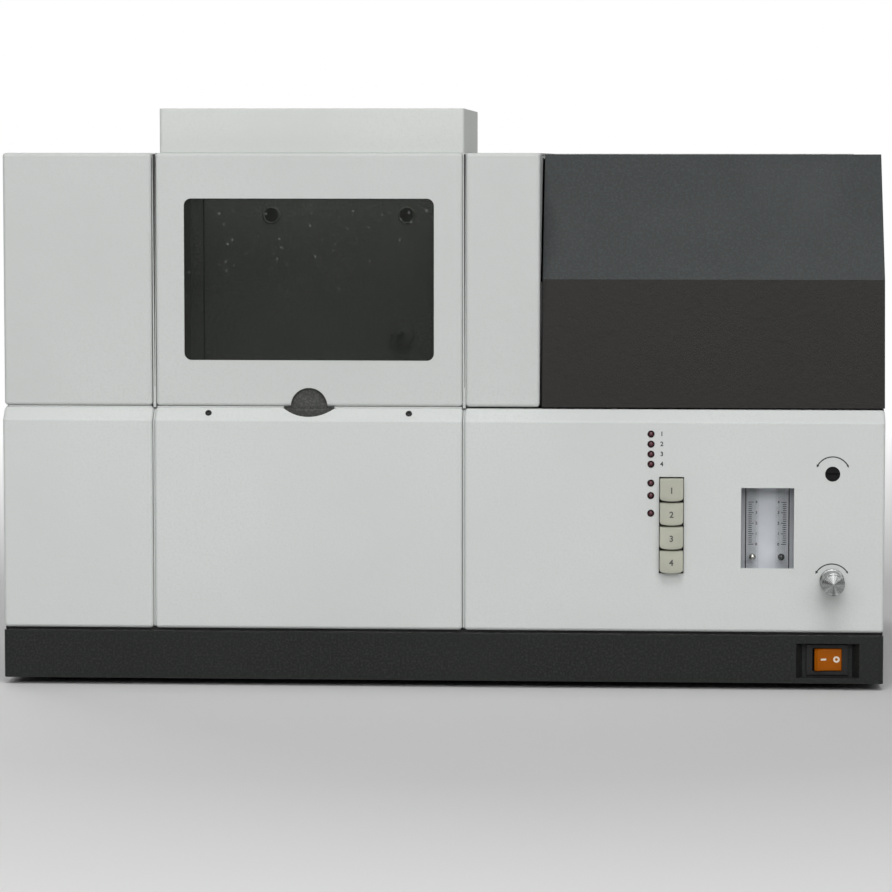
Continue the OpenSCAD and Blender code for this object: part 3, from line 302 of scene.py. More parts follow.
class Finish(NodeSet):  # one material on object coordinates
    def __init__(self, name, **sockets):
        self.material = bpy.data.materials.new(name)
        self.material.use_nodes = True
        super().__init__(self.material.node_tree, "Object")
        self.shader = setSockets(self.tree.nodes["Principled BSDF"], sockets)

    def colour(self, socket):
        self.link(socket, self.shader.inputs["Base Color"])

    def rough(self, socket):
        self.link(socket, self.shader.inputs["Roughness"])

    def bump(self, height, strength, distance):  # each bump stands on the one before
        node = self.node("Bump", Strength=strength, Distance=distance)
        self.link(height, node.inputs["Height"])
        if self.shader.inputs["Normal"].is_linked:
            self.link(self.shader.inputs["Normal"].links[0].from_socket, node.inputs["Normal"])
        self.link(node.outputs["Normal"], self.shader.inputs["Normal"])


def scaled(colour, factor):  # a colour made darker or lighter
    return tuple(c * factor for c in colour)


def coatFinish(name, colour, roughness, grain, clouds=0.03, smudge=0.0, specular=0.5, below=None):
    # baked powder coat: an even colour with faint clouds, a pebbled skin and a few rubbed patches;
    # below gives a height and a darker, warmer colour under it: painted shade, for a cover whose upper
    # slope catches more light
    f = Finish(name, Specular_IOR_Level=specular)
    fleck = 0.97 if colour[0] > 0.3 else 1.9  # darker flecks in a pale coat, lighter ones in a dark coat
    cloud = f.ranged(f.noise(7.0, 4.0), 0.3, 0.7)
    base = f.blend(cloud, scaled(colour, 1 - clouds), scaled(colour, 1 + clouds))
    base = f.blend(f.ranged(f.noise(520.0, 2.0), 0.45, 0.7), base, scaled(colour, fleck))
    rubbed = f.ranged(f.noise(16.0, 5.0, f.stretched((0.7, 1.0, 0.45)), 0.8), 0.52, 0.72)
    if smudge:
        base = f.blend(f.ranged(rubbed, 0.0, 1.0, 0.0, smudge), base, scaled(colour, 1.6))
    # painted shade: under the height the colour is darker and warmer than above it, standing in for the
    # light the upper slope reflects
    if below:
        height, under = below
        lower = f.blend(rubbed, under, scaled(under, 0.8))
        base = f.blend(f.ranged(f.along("Z"), height - 0.0003, height + 0.0003), lower, base)
    f.colour(base)
    f.rough(f.ranged(rubbed, 0.0, 1.0, roughness, roughness - 0.03))
    f.bump(f.noise(grain, 2.0), 0.22, 0.0004)
    f.bump(f.noise(grain * 0.22, 1.0), 0.08, 0.001)
    return f.material


def plasticFinish(name, colour, roughness, grain=900.0, depth=0.12, dust=0.05, specular=0.5):
    # moulded plastic: a spark-eroded skin, a slight unevenness of the gloss and a little dust
    f = Finish(name, Specular_IOR_Level=specular)
    base = f.blend(f.ranged(f.noise(40.0, 4.0), 0.35, 0.7), scaled(colour, 0.93), scaled(colour, 1.06))
    lint = f.ranged(f.noise(1900.0, 0.0), 0.74, 0.8, 0.0, dust)
    f.colour(f.blend(lint, base, (0.5, 0.5, 0.47)))
    f.rough(f.ranged(f.noise(70.0, 3.0), 0.3, 0.7, roughness - 0.06, roughness + 0.06))
    f.bump(f.noise(grain, 2.0), depth, 0.0003)
    return f.material


def metalFinish(name, colour, roughness, lines, mottle=0.06):
    # rolled or milled metal: fine lines along the draw, with clouded stains and small dents
    f = Finish(name, Metallic=1.0)
    streak = f.noise(320.0, 3.0, f.stretched(lines))
    stain = f.ranged(f.noise(28.0, 5.0), 0.3, 0.75)
    base = f.blend(stain, scaled(colour, 1 + mottle), scaled(colour, 1 - mottle))
    f.colour(f.blend(f.ranged(streak, 0.35, 0.65), scaled(colour, 0.92), base))
    f.rough(f.ranged(streak, 0.3, 0.7, roughness - 0.07, roughness + 0.1))
    f.bump(streak, 0.12, 0.0002)
    f.bump(f.noise(90.0, 2.0), 0.05, 0.0006)
    return f.material


def glassFinish(name, colour, roughness, ior):
    # clear solid: true refraction, with a faint film that blurs it in patches
    f = Finish(name, Base_Color=(*colour, 1), Transmission_Weight=1.0, IOR=ior)
    f.rough(f.ranged(f.noise(60.0, 4.0), 0.45, 0.8, roughness, roughness + 0.03))
    f.bump(f.noise(140.0, 2.0), 0.02, 0.0003)
    return f.material


def thinClear(name, colour, alpha):
    # clear thin wall: mostly open to what lies behind, with a glossy skin, drawn lines and a faint film
    f = Finish(name, Alpha=alpha, IOR=1.49, Specular_IOR_Level=0.3)
    drawn = f.noise(90.0, 3.0, f.stretched((1.0, 1.0, 0.05)))
    f.colour(f.blend(f.ranged(drawn, 0.3, 0.7), scaled(colour, 0.9), colour))
    f.rough(f.ranged(f.noise(60.0, 4.0), 0.4, 0.8, 0.04, 0.12))
    f.bump(drawn, 0.04, 0.0003)
    return f.material


def smokedPane(name):
    # dark tinted sheet: it lets a little of the chamber through, with specks of dust denser towards the top
    f = Finish(name, Alpha=0.45, IOR=1.49, Specular_IOR_Level=0.22)
    specks = f.ranged(f.cells(120.0), 0.065, 0.19, 1.0, 0.0)
    sparse = f.ranged(f.noise(55.0, 2.0), 0.42, 0.52)
    upper = f.ranged(f.along("Z"), 0.30, 0.40, 0.1, 1.0)
    dust = f.both(f.both(specks, sparse), upper)
    haze = f.ranged(f.noise(11.0, 4.0), 0.3, 0.75)
    base = f.blend(haze, (0.019, 0.0215, 0.018), (0.026, 0.028, 0.0245))
    f.colour(f.blend(dust, base, (0.22, 0.225, 0.22)))
    f.rough(f.ranged(haze, 0.0, 1.0, 0.05, 0.14))
    return f.material


def spunMetal(name, colour, roughness):
    # turned aluminium: grooves round the axis and streaks along the radius come from the piece's own map;
    # the streaks are partly fine scratches, partly painted reflection of a spun face's bright and dark
    # sectors
    f = Finish(name, Metallic=1.0, Anisotropic=0.9, Anisotropic_Rotation=0.25)
    tangent = f.node("Tangent")
    tangent.direction_type, tangent.uv_map = "UV_MAP", "turn"
    f.link(tangent.outputs[0], f.shader.inputs["Tangent"])
    ring = f.noise(1.0, 2.0, f.stretched((2.0, 160.0, 1.0), f.pieceMap()))
    rays = f.noise(1.0, 3.0, f.stretched((14.0, 0.0, 1.0), f.pieceMap()))
    streak = f.both(f.ranged(rays, 0.35, 0.65), f.ranged(ring, 0.3, 0.7, 0.8, 1.0))
    # the streaks darken the colour to a third: partly scratches, partly painted reflection
    f.colour(f.blend(streak, scaled(colour, 0.3), colour))
    f.rough(f.ranged(ring, 0.3, 0.7, roughness - 0.04, roughness + 0.08))
    f.bump(ring, 0.1, 0.0001)
    return f.material


def lensFinish(name, tipHighlight, body, rim):
    # moulded lens, by rows of the piece's own map: a paler core at the tip, which is a painted highlight,
    # then a deep body, and darker towards the rim
    f = Finish(name, IOR=1.5)
    row = f.along("Y", f.pieceMap())
    # painted highlight: the paler colour at the tip of the dome
    inner = f.blend(f.ranged(row, 0.02, 0.16), tipHighlight, body)
    shade = f.blend(f.ranged(row, 0.26, 0.42), inner, rim)
    f.colour(f.blend(f.ranged(f.noise(500.0, 2.0), 0.4, 0.8, 0.0, 0.25), shade, body))
    f.rough(f.ranged(f.noise(300.0, 2.0), 0.3, 0.7, 0.18, 0.3))
    return f.material


def boardFinish(name):
    # green lacquer over a net of tracks, which stand up slightly
    f = Finish(name)
    tracks = f.fed(f.node("TexBrick", Scale=90.0, Mortar_Size=0.06)).outputs["Fac"]
    f.colour(f.blend(tracks, (0.012, 0.09, 0.04), (0.03, 0.19, 0.08)))
    f.rough(f.ranged(f.noise(50.0, 3.0), 0.3, 0.7, 0.25, 0.4))
    f.bump(tracks, 0.3, 0.0002)
    return f.material


finishes = {
    "pale_paint": coatFinish("palePaint", (0.544, 0.560, 0.547), 0.5, 900.0, specular=0.28),
    "dark_paint": coatFinish("darkPaint", (0.0128, 0.0142, 0.0134), 0.42, 700.0, 0.1, 0.15, 0.22),
    "liner_paint": coatFinish("linerPaint", (0.110, 0.118, 0.106), 0.6, 2400.0, 0.06, 0.1),
    "foot_rubber": plasticFinish("footRubber", (0.022, 0.022, 0.021), 0.75, 1200.0, 0.3, 0.12),
    "zinc_steel": metalFinish("zincSteel", (0.46, 0.465, 0.47), 0.38, (1.0, 0.06, 1.0)),
    "aluminium": metalFinish("milledAluminium", (0.66, 0.665, 0.67), 0.32, (0.05, 1.0, 1.0)),
    "black_plastic": plasticFinish("blackPlastic", (0.012, 0.0115, 0.012), 0.45, specular=0.35),
    "tinted_glass": smokedPane("smokedPane"),
    "clear_glass": glassFinish("lensGlass", (0.95, 0.97, 0.96), 0.01, 1.47),
    "clear_acrylic": thinClear("tubeAcrylic", (0.30, 0.33, 0.33), 0.06),
    "mirror_glass": metalFinish("mirrorGlass", (0.86, 0.87, 0.87), 0.12, (1.0, 1.0, 1.0), 0.02),
    "valve_brass": metalFinish("valveBrass", (0.58, 0.43, 0.18), 0.3, (1.0, 0.08, 1.0)),
    "board_green": boardFinish("boardGreen"),
    "key_cream": plasticFinish("keyCream", (0.400, 0.405, 0.335), 0.5, 1500.0, 0.08, 0.02, 0.3),
    # the first colour is a painted highlight at the tip of each lens
    "lamp_red": lensFinish("lampRed", (0.13, 0.045, 0.055), (0.055, 0.012, 0.018), (0.012, 0.004, 0.006)),
    "amber": plasticFinish("amberRocker", (0.345, 0.088, 0.002), 0.42, 700.0, 0.06, 0.02, 0.1),
    "scale_white": plasticFinish("scaleWhite", (0.565, 0.585, 0.62), 0.5, 700.0, 0.05, 0.02),
    "float_steel": metalFinish("floatSteel", (0.62, 0.60, 0.55), 0.16, (1.0, 1.0, 1.0)),
    "float_black": plasticFinish("floatBlack", (0.012, 0.013, 0.013), 0.2, 900.0, 0.02, 0.0),
}
inkFinish = plasticFinish("printedInk", (0.035, 0.036, 0.038), 0.55, 1800.0, 0.05, 0.0, 0.3)
greyInk = plasticFinish("greyInk", (0.085, 0.086, 0.08), 0.55, 1800.0, 0.05, 0.0, 0.3)
whiteInk = plasticFinish("whiteMark", (0.74, 0.66, 0.55), 0.5, 1800.0, 0.05, 0.0, 0.3)
# painted light: the lower panels and the chimney take lighter copies of the pale paint, standing in for the
# stronger light they get
panelPaintLit = coatFinish("panelPaintLit", (0.584, 0.602, 0.590), 0.5, 900.0, specular=0.28)
chimneyPaintLit = coatFinish("chimneyPaintLit", (0.612, 0.628, 0.606), 0.5, 900.0, specular=0.28)
# the mono cover's upper slope is coloured lighter and bluer than the face under the fold: painted light and
# shade
coverPaintWithShade = coatFinish("coverPaintWithShade", (0.0105, 0.0140, 0.0142), 0.4, 700.0, 0.1, 0.1, 0.22,
                        (0.342, (0.0125, 0.0112, 0.0098)))
catchPaint = coatFinish("catchPaint", (0.054, 0.056, 0.051), 0.6, 600.0, 0.08, 0.1, 0.25)
sootedSteel = coatFinish("sootedSteel", (0.098, 0.102, 0.093), 0.55, 1800.0, 0.2, 0.2)
thinGlass = thinClear("lampGlass", (0.80, 0.84, 0.83), 0.16)
spunFinish = spunMetal("spunAluminium", (0.62, 0.63, 0.63), 0.25)
adjusterBlack = plasticFinish("adjusterBlack", (0.0065, 0.0055, 0.006), 0.55, 1400.0, 0.2, 0.02, 0.15)
print("finishes made:", len(bpy.data.materials))


# Camera, floor and light

cameraSet = {"turn": 3.17, "rise": 4.58, "away": 3.0, "aim": (0.00414, -0.250, 0.20338),
             "lens": 144.87, "sensor": 36.0, "roll": 0.02}
floorSet = {"half": 30.0, "pale": (0.62, 0.62, 0.62), "near": 0.7, "far": 2.6, "behind": 0.6}
worldSet = {"level": 0.15, "turnsAt": 0.25}
lightSet = {
    "topLight": {"power": 126.0, "size": (3.0, 2.2), "place": (0.3, -3.0, 4.8), "aim": (0, -0.2, 0.25)},
    "frontLight": {"power": 172.0, "size": (7.0, 2.4), "place": (0.4, -4.8, 2.65), "aim": (0, -0.2, 0.25)},
    "backLight": {"power": 90.0, "size": (3.0, 2.0), "place": (-1.8, 3.6, 1.9), "aim": (0, 0.2, 0.25),
                  "shine": False},
}


def addCamera(s):
    # the eye lies on a ball round the aim, turned and raised by two angles, then rolled a little
    turn, rise = math.radians(s["turn"]), math.radians(s["rise"])
    back = Vector((math.sin(turn) * math.cos(rise), -math.cos(turn) * math.cos(rise), math.sin(rise)))
    eye = Vector(s["aim"]) + back * s["away"]
    right = Vector((0, 0, 1)).cross(back).normalized()
    level = Matrix((right, back.cross(right), back)).transposed()
    pose = level @ Matrix.Rotation(math.radians(s["roll"]), 3, "Z")
    data = bpy.data.cameras.new("viewCamera")
    data.lens, data.sensor_width, data.clip_end = s["lens"], s["sensor"], 100.0
    camera = bpy.data.objects.new("viewCamera", data)
    camera.matrix_world = Matrix.Translation(eye) @ pose.to_4x4()
    bpy.context.scene.collection.objects.link(camera)
    bpy.context.scene.camera = camera


def addFloor(s):
    # a level sheet, pale and shadowed near the object, that turns to plain white further off;
    # glossy surfaces see that white only behind the object, as they do in the world
    half = s["half"]
    mesh = bpy.data.meshes.new("paleFloor")
    corners = [(-half, -half, 0), (half, -half, 0), (half, half, 0), (-half, half, 0)]
    mesh.from_pydata(corners, [], [(0, 1, 2, 3)])
    floor = bpy.data.objects.new("paleFloor", mesh)
    bpy.context.scene.collection.objects.link(floor)
    f = Finish("paleFloor", Roughness=0.9, Specular_IOR_Level=0.1)
    f.colour(f.blend(f.noise(3.0, 3.0), scaled(s["pale"], 0.985), scaled(s["pale"], 1.015)))
    reach = f.node("VectorMath")
    reach.operation = "LENGTH"
    f.link(f.place, reach.inputs[0])
    away = f.ranged(reach.outputs["Value"], s["near"], s["far"])
    glossy = f.both(f.ranged(f.along("Y"), 0.0, s["behind"]), f.seen("Is Glossy Ray"))
    seen = f.both(f.seen("Is Camera Ray", "Is Transmission Ray"), glossy, "MAXIMUM")
    mix = f.node("MixShader")
    f.link(f.both(away, seen), mix.inputs[0])
    f.link(f.shader.outputs[0], mix.inputs[1])
    f.link(f.node("Emission").outputs[0], mix.inputs[2])
    f.link(mix.outputs[0], f.tree.nodes["Material Output"].inputs["Surface"])
    mesh.materials.append(f.material)


def addWorld(s):
    # even soft light; the eye and clear surfaces see plain white, and so do glossy ones towards the
    # background, while towards the front they see the dimmer room
    world = bpy.data.worlds.new("studio")
    bpy.context.scene.world = world
    world.use_nodes = True
    w = NodeSet(world.node_tree, "Generated")
    shade = setSockets(w.tree.nodes["Background"], {"Color": (1, 1, 1, 1)})
    behind = w.ranged(w.along("Y"), -s["turnsAt"], s["turnsAt"])
    glossy = w.both(behind, w.seen("Is Glossy Ray"))
    seen = w.both(glossy, w.seen("Is Camera Ray", "Is Transmission Ray"), "MAXIMUM")
    w.link(w.ranged(seen, 0.0, 1.0, s["level"], 1.0), shade.inputs["Strength"])


def addLight(name, s):  # a flat lamp turned to its aim
    data = bpy.data.lights.new(name, "AREA")
    data.shape, data.size, data.size_y, data.energy = "RECTANGLE", *s["size"], s["power"]
    lamp = bpy.data.objects.new(name, data)
    lamp.visible_glossy = s.get("shine", True)  # without shine, a lamp gives no glare
    way = Vector(s["aim"]) - Vector(s["place"])
    lamp.matrix_world = Matrix.Translation(s["place"]) @ way.to_track_quat("-Z", "Y").to_matrix().to_4x4()
    bpy.context.scene.collection.objects.link(lamp)


addCamera(cameraSet)
addFloor(floorSet)
addWorld(worldSet)
for lightName, lightValues in lightSet.items():
    addLight(lightName, lightValues)
bpy.context.scene.view_settings.view_transform = "Standard"
print("camera, floor and light placed")


# Solids carried over: each takes its slot's finish, folded sheet gets soft edges, round faces shade smooth

solidSet = {
    "softEdges": {"base_tray": 1.2, "chimney": 1.0, "mono_cover": 1.0, "left_side_panel": 0.5,
                  "right_side_panel": 0.5, "lamp_top_cover": 0.6, "burner_top_cover": 0.6,
                  "mains_inlet": 0.8, "turret_bracket": 0.6, "burner_stage": 1.0, "stage_post": 1.0,
                  "fold_mirror": 0.8, "switch_body": 0.5, "door_window": 0.5, "key_frame": 0.4},
    "smoothBelow": 20.0, "bevelAbove": 40.0, "flatBelow": 0.5,
    # the lower panels and the chimney take the lighter copies of the pale paint, which is painted light
    "ownFinish": {"chimney": chimneyPaintLit, "lower_left_panel": panelPaintLit, "lower_centre_panel": panelPaintLit,
                  # the mono cover takes the paint with painted shade under its fold
                  "control_panel": panelPaintLit, "mono_cover": coverPaintWithShade, "oxidant_adjuster": adjusterBlack,
                  "igniter": sootedSteel},
}


def smoothGroup(limit):
    # shades faces smooth, and keeps edges sharp where their faces meet at more than the limit
    group = bpy.data.node_groups.new("roundShading", "GeometryNodeTree")
    for way in ("INPUT", "OUTPUT"):
        group.interface.new_socket("Geometry", in_out=way, socket_type="NodeSocketGeometry")
    start, end = group.nodes.new("NodeGroupInput"), group.nodes.new("NodeGroupOutput")
    faces, edges = [group.nodes.new("GeometryNodeSetShadeSmooth") for _ in range(2)]
    edges.domain = "EDGE"
    edges.inputs["Shade Smooth"].default_value = False
    angle = group.nodes.new("GeometryNodeInputMeshEdgeAngle")
    steep = group.nodes.new("FunctionNodeCompare")
    steep.inputs["B"].default_value = math.radians(limit)
    group.links.new(angle.outputs["Unsigned Angle"], steep.inputs["A"])
    group.links.new(start.outputs[0], faces.inputs["Geometry"])
    group.links.new(faces.outputs[0], edges.inputs["Geometry"])
    group.links.new(steep.outputs[0], edges.inputs["Selection"])
    group.links.new(edges.outputs[0], end.inputs[0])
    return group


def dressSolids(s):
    # each solid is welded and takes its finish; where listed, level faces are joined and edges rounded
    group = smoothGroup(s["smoothBelow"])
    for part in frame["record"]["subparts"]:
        name = part["node"]
        solid = nodes[name]
        solid.data.materials.clear()
        solid.data.materials.append(s["ownFinish"].get(name, finishes[part["material_slot"]]))
        solid.modifiers.new("Weld", "WELD").merge_threshold = 1e-5
        if name in s["softEdges"]:
            flat = solid.modifiers.new("Flat", "DECIMATE")
            flat.decimate_type, flat.angle_limit = "DISSOLVE", math.radians(s["flatBelow"])
            edge = solid.modifiers.new("Edge", "BEVEL")
            edge.width, edge.segments = s["softEdges"][name] / 1000, 3
            edge.angle_limit = math.radians(s["bevelAbove"])
            solid.modifiers.new("Close", "WELD").merge_threshold = 2e-6
        solid.modifiers.new("Round", "NODES").node_group = group
        solid.modifiers.new("Even", "WEIGHTED_NORMAL").keep_sharp = True


dressSolids(solidSet)
print("solids dressed")


# Control panel: keys, indicator lamps, flowmeter, gas controls

panelFace = nodeBox("control_panel")[0][1]
cabinet = "cabinet"
inkProud = 0.02  # how far printed marks stand off a face
keySet = {"names": ("gas_select_key", "ignite_key", "check_key", "close_key"), "bow": 1.3,
          "corners": (1.0, 1.0, 2.4, 2.4), "edge": 0.9, "lean": 2.0, "topGap": 0.7,
          "figure": 7.0, "figureDown": 0.6, "bold": 0.2}


def addKey(name, number, s):
    # a rounded rectangle whose lower edge rises towards its ends; the face leans back towards the top
    low, high = nodeBox(name)
    high[2] -= s["topGap"]
    width, tall = high[0] - low[0], high[2] - low[2]
    outline = resampled(roundRect(width, tall, s["corners"]), 120)
    share = np.clip(0.5 - outline[:, 1] / tall, 0, 1) ** 4
    outline[:, 1] += s["bow"] * share * (2 * outline[:, 0] / width) ** 2
    middle = ((low + high) / 2)[[0, 2]]
    lean = lambda x, z: s["lean"] * np.clip((z - low[2]) / tall, 0, 1) ** 1.5
    cap = softPrism(outline + middle, low[1], high[1], s["edge"], "y", 5, lean)
    addPiece(name + "_cap", [cap], name, "key_cream", name)
    face = lambda x, z: low[1] + lean(x, z) - inkProud
    mark = figures(str(number), s["figure"], middle - (0, s["figureDown"]), face, s["bold"])
    addPiece(name + "_figure", [mark], name, "black_plastic", finish=greyInk)


for keyNumber, keyName in enumerate(keySet["names"], 1):
    addKey(keyName, keyNumber, keySet)
print("keys made")

lensSet = {"above": (165.7, 157.3, 148.9, 140.5, 124.7, 114.3, 99.5), "radius": 2.5, "collar": 2.95,
           "collarProud": 0.35, "sheet": 2.05, "flange": 2.9, "flangeEnd": 3.2, "soft": 0.4,
           "numbered": 4, "figure": 5.2, "figureAway": 9.0, "bold": 0.14}


def addLenses(s):
    # a quarter circle from the tip to the barrel, a thin collar on the sheet, then the barrel with its
    # flange behind it
    low, high = nodeBox("indicator_lamps")
    bottom = nodeBox("control_panel")[0][2]
    x, r, tip, back = (low[0] + high[0]) / 2, s["radius"], low[1], high[1]
    bend = np.linspace(0, np.pi / 2, 12)
    dome = np.stack([tip + r * (1 - np.cos(bend)), r * np.sin(bend)], 1)
    front, rest = panelFace - s["collarProud"], panelFace - 0.02
    sheet, end = panelFace + s["sheet"], panelFace + s["flangeEnd"]
    barrel = [[front, r], [front, s["collar"]], [rest, s["collar"]], [rest, r], [sheet, r],
              [sheet, s["flange"]], [end, s["flange"]], [end, r],
              [back - s["soft"], r], [back, r - s["soft"]], [back, 0]]
    profile = np.concatenate([dome, barrel])
    lenses = [turned(profile, (x, 0, bottom + up), "y", 32) for up in s["above"]]
    addPiece("indicatorLenses", lenses, cabinet, "lamp_red", "indicator_lamps")
    away = x + s["figureAway"]
    marks = [figures(str(n), s["figure"], (away, bottom + up), panelFace - inkProud, s["bold"])
             for n, up in enumerate(s["above"][:s["numbered"]], 1)]
    addPiece("lampFigures", marks, cabinet, "black_plastic", finish=inkFinish)


addLenses(lensSet)
print("indicator lamps made")

flowSet = {"wide": 9.6, "wall": 0.5, "lip": 0.6, "bore": 3.2, "seatUp": 11.3, "ticks": 21, "firstUp": 25.8,
           "lastUp": 61.1, "tickIn": 1.0, "tickHalf": 0.3, "tickLong": 4.4, "tickShort": 3.0, "figure": 3.2,
           "figureIn": 6.6, "bold": 0.1, "strip": 0.45, "stripOut": 1.2, "stripDeep": 3.0, "stripEnd": 1.0}


def boredBlock(outline, low, high, s):
    # rings climb the outline from its middle, cross the top to a circle at the same angles and go down
    # to the seat
    middle, lip, seat = outline.mean(0), s["lip"], low + s["seatUp"]
    out = outline - middle
    angle = np.arctan2(out[:, 1], out[:, 0])
    circle = middle + s["bore"] * np.stack([np.cos(angle), np.sin(angle)], 1)
    centre = np.repeat(middle[None], len(outline), 0)
    inner = middle + out * (1 - lip / np.linalg.norm(out, axis=1, keepdims=True))
    flat = np.stack([centre, inner, outline, outline, inner, circle, circle, centre])
    depth = np.array([low, low, low + lip, high - lip, high, high, seat, seat])
    return gridPatch(standUp(flat, depth[:, None], "z"))


def addFlowmeter(s):
    # two bored blocks, scale lines on their faces from the outer edges inwards, and beside each a dark
    # strip of painted shade standing in for the dark edge that refraction gives the acrylic
    low, high = nodeBox("flow_tubes")
    wide, front = s["wide"], low[1] - 0.03
    middles = (low[0] + wide / 2, high[0] - wide / 2)
    block = resampled(roundRect(wide, high[1] - low[1], s["wall"], 4), 96)
    tubes = [boredBlock(block + (x, (low[1] + high[1]) / 2), low[2], high[2], s) for x in middles]
    addPiece("tubeBlocks", tubes, cabinet, "clear_acrylic", "flow_tubes")
    heights = np.linspace(low[2] + s["firstUp"], low[2] + s["lastUp"], s["ticks"])
    ticks, strips, marks = [], [], []
    for x, outer in zip(middles, (-1, 1)):
        edge = x + outer * (wide / 2 - s["tickIn"])
        for n, z in enumerate(heights):
            reach = s["tickShort"] if n % 5 else s["tickLong"]
            line = np.array([[edge, z], [edge - outer * reach, z]])
            ticks.append(ribbon(line, s["tickHalf"], front, front + 0.06))
        away = edge - outer * s["figureIn"]
        marks += [figures(str(n), s["figure"], (away, z), front + 0.02, s["bold"], 0.02)
                  for n, z in enumerate(heights[::5])]
        # painted shade: a dark strip outside each block, in place of the dark edge that refraction gives
        side = x + outer * (wide / 2 + s["stripOut"])
        line = np.array([[side, low[2] + s["stripEnd"]], [side, high[2] - s["stripEnd"]]])
        strips.append(ribbon(line, s["strip"], front - 0.1, front + s["stripDeep"]))
    addPiece("flowTicks", ticks, cabinet, "black_plastic", finish=inkFinish)
    addPiece("flowFigures", marks, cabinet, "black_plastic", finish=inkFinish)
    addPiece("tubeEdgeShade", strips, cabinet, "black_plastic")


addFlowmeter(flowSet)
print("flowmeter made")

knobSet = {"grip": 9.4, "skirt": 10.2, "stem": 3.0, "ridges": 44, "ridgeDepth": 0.02, "cone": 1.7,
           "offPanel": 1.0}


def addKnob(s):
    # profile from the tip of the coned face over its rim, along the ridged grip to the skirt and stem
    low, high = nodeBox("fuel_knob")
    x, z = (low[0] + high[0]) / 2, (low[2] + high[2]) / 2
    tip, edge, foot, end = low[1], low[1] + s["cone"], panelFace - s["offPanel"], high[1]
    grip, skirt, stem = s["grip"], s["skirt"], s["stem"]
    radii = np.linspace(0, grip - 1.1, 14)
    face = np.stack([tip + s["cone"] * radii / radii[-1], radii], 1)
    rim = [[edge - 0.1, grip - 0.8], [edge, grip - 0.4], [edge + 0.45, grip]]
    gripRows = np.stack([np.linspace(tip + 4.0, foot - 6.0, 12), np.full(12, grip)], 1)
    hem = [[foot - 5.2, grip - 0.5], [foot - 4.0, grip - 0.5], [foot - 3.7, skirt - 0.2],
           [foot - 3.2, skirt], [foot - 0.4, skirt], [foot, skirt - 0.4],
           [foot, stem], [end, stem], [end, 0]]
    profile = np.concatenate([face, rim, gripRows, hem])
    first = len(face) + len(rim)
    last = first + len(gripRows) - 1
    ridge = lambda angle: s["ridgeDepth"] * (0.5 + 0.5 * np.cos(s["ridges"] * angle)) ** 3
    ridged = lambda row, angle: 1 - ((row > first) & (row < last)) * ridge(angle)
    knob = turned(profile, (x, 0, z), "y", 264, ridged)
    addPiece("fuelKnob", [knob], "fuel_knob", "aluminium", "fuel_knob", spunFinish)
    return x, z


knobPlace = addKnob(knobSet)

arrowSet = {"adjuster": {"radius": 14.4, "from": 157.0, "to": 22.0, "drop": 0.0},
            "knob": {"radius": 15.3, "from": 153.0, "to": 27.5, "drop": 1.3},
            "half": 0.5, "headHalf": (1.35, 1.0), "headTurn": 9.0, "tipHalf": 0.02, "points": 36}


def addArrows(s):
    # an arc whose width runs from nothing to the head's, drops to the line's, and ends the same way
    half, tip, count = s["half"], s["tipHalf"], s["points"]
    widths = [tip, s["headHalf"][0], half, *np.full(count, half), half, s["headHalf"][1], tip]
    patches = []
    for kind, centre in (("adjuster", nodeMiddle("oxidant_adjuster")[[0, 2]]), ("knob", knobPlace)):
        arc = s[kind]
        first, last = arc["from"] - s["headTurn"], arc["to"] + s["headTurn"]
        turn = [arc["from"], first, first - 0.05, *np.linspace(first - 1, last + 1, count),
                last + 0.05, last, arc["to"]]
        path = arcPath(np.asarray(centre) - (0, arc["drop"]), arc["radius"], turn)
        patches.append(ribbon(path, widths, panelFace - 0.05, panelFace + 0.02))
    addPiece("turnArrows", patches, cabinet, "black_plastic", finish=inkFinish)


addArrows(arrowSet)
print("gas controls made")


# Power switch

rockerSet = {"tilt": 8.0, "half": 9.9, "flare": 2.0, "tall": 9.4, "dish": 1.8, "reach": 5.6, "edge": 1.2,
             "pin": 1.5, "pinDeep": 3.2, "pinOut": 1.0, "bar": (-7.0, -2.2), "barHalf": 0.8,
             "ring": (6.3, 1.9), "ringHalf": 0.75, "markUp": 0.4}


def addRocker(s):
    # a section with a face dished along a parabola, pulled upright with soft ends and tilted about its pin
    pivot = nodeMiddle("power_rocker")
    pivot[1] = nodeBox("switch_body")[0][1] + s["pinDeep"]
    half, tall, side, end = s["half"], s["tall"], s["half"] + s["flare"], s["tall"] + s["pinOut"]
    x = np.linspace(-half, half, 41)
    face = lambda x: s["dish"] * (1 - (x / half) ** 2) - s["reach"]
    back = np.array([[side, -3.0], [side - 0.6, 1], [5, 5], [-5, 5], [0.6 - side, 1], [-side, -3.0]])
    outline = resampled(np.concatenate([np.stack([x, face(x)], 1), back]), 180)
    pin = turned([[-end, 0], [-end, s["pin"]], [end, s["pin"]], [end, 0]], axis="z", count=24)
    body = [softPrism(outline, -tall, tall, s["edge"], "z", 5), pin]
    tilted = lambda patches: [placed(p, pivot, s["tilt"]) for p in patches]
    addPiece("rockerCap", tilted(body), "power_rocker", "amber", "power_rocker")
    proud = lambda x, z: face(x) - 0.05
    under = lambda x, z: face(x) + 0.03
    middle, radius = s["ring"]
    line = np.stack([np.linspace(*s["bar"], 9), np.full(9, s["markUp"])], 1)
    circle = arcPath((middle, s["markUp"]), radius, np.linspace(0, 360, 49))
    marks = [ribbon(line, s["barHalf"], proud, under), ribbon(circle, s["ringHalf"], proud, under)]
    addPiece("rockerMarks", tilted(marks), "power_rocker", "scale_white", finish=whiteInk)


addRocker(rockerSet)
print("switch made")


# Seams: pale strips in the gaps between covers and doors, dark bars in them, most of which are painted
# shade, and the burner door's catch plate

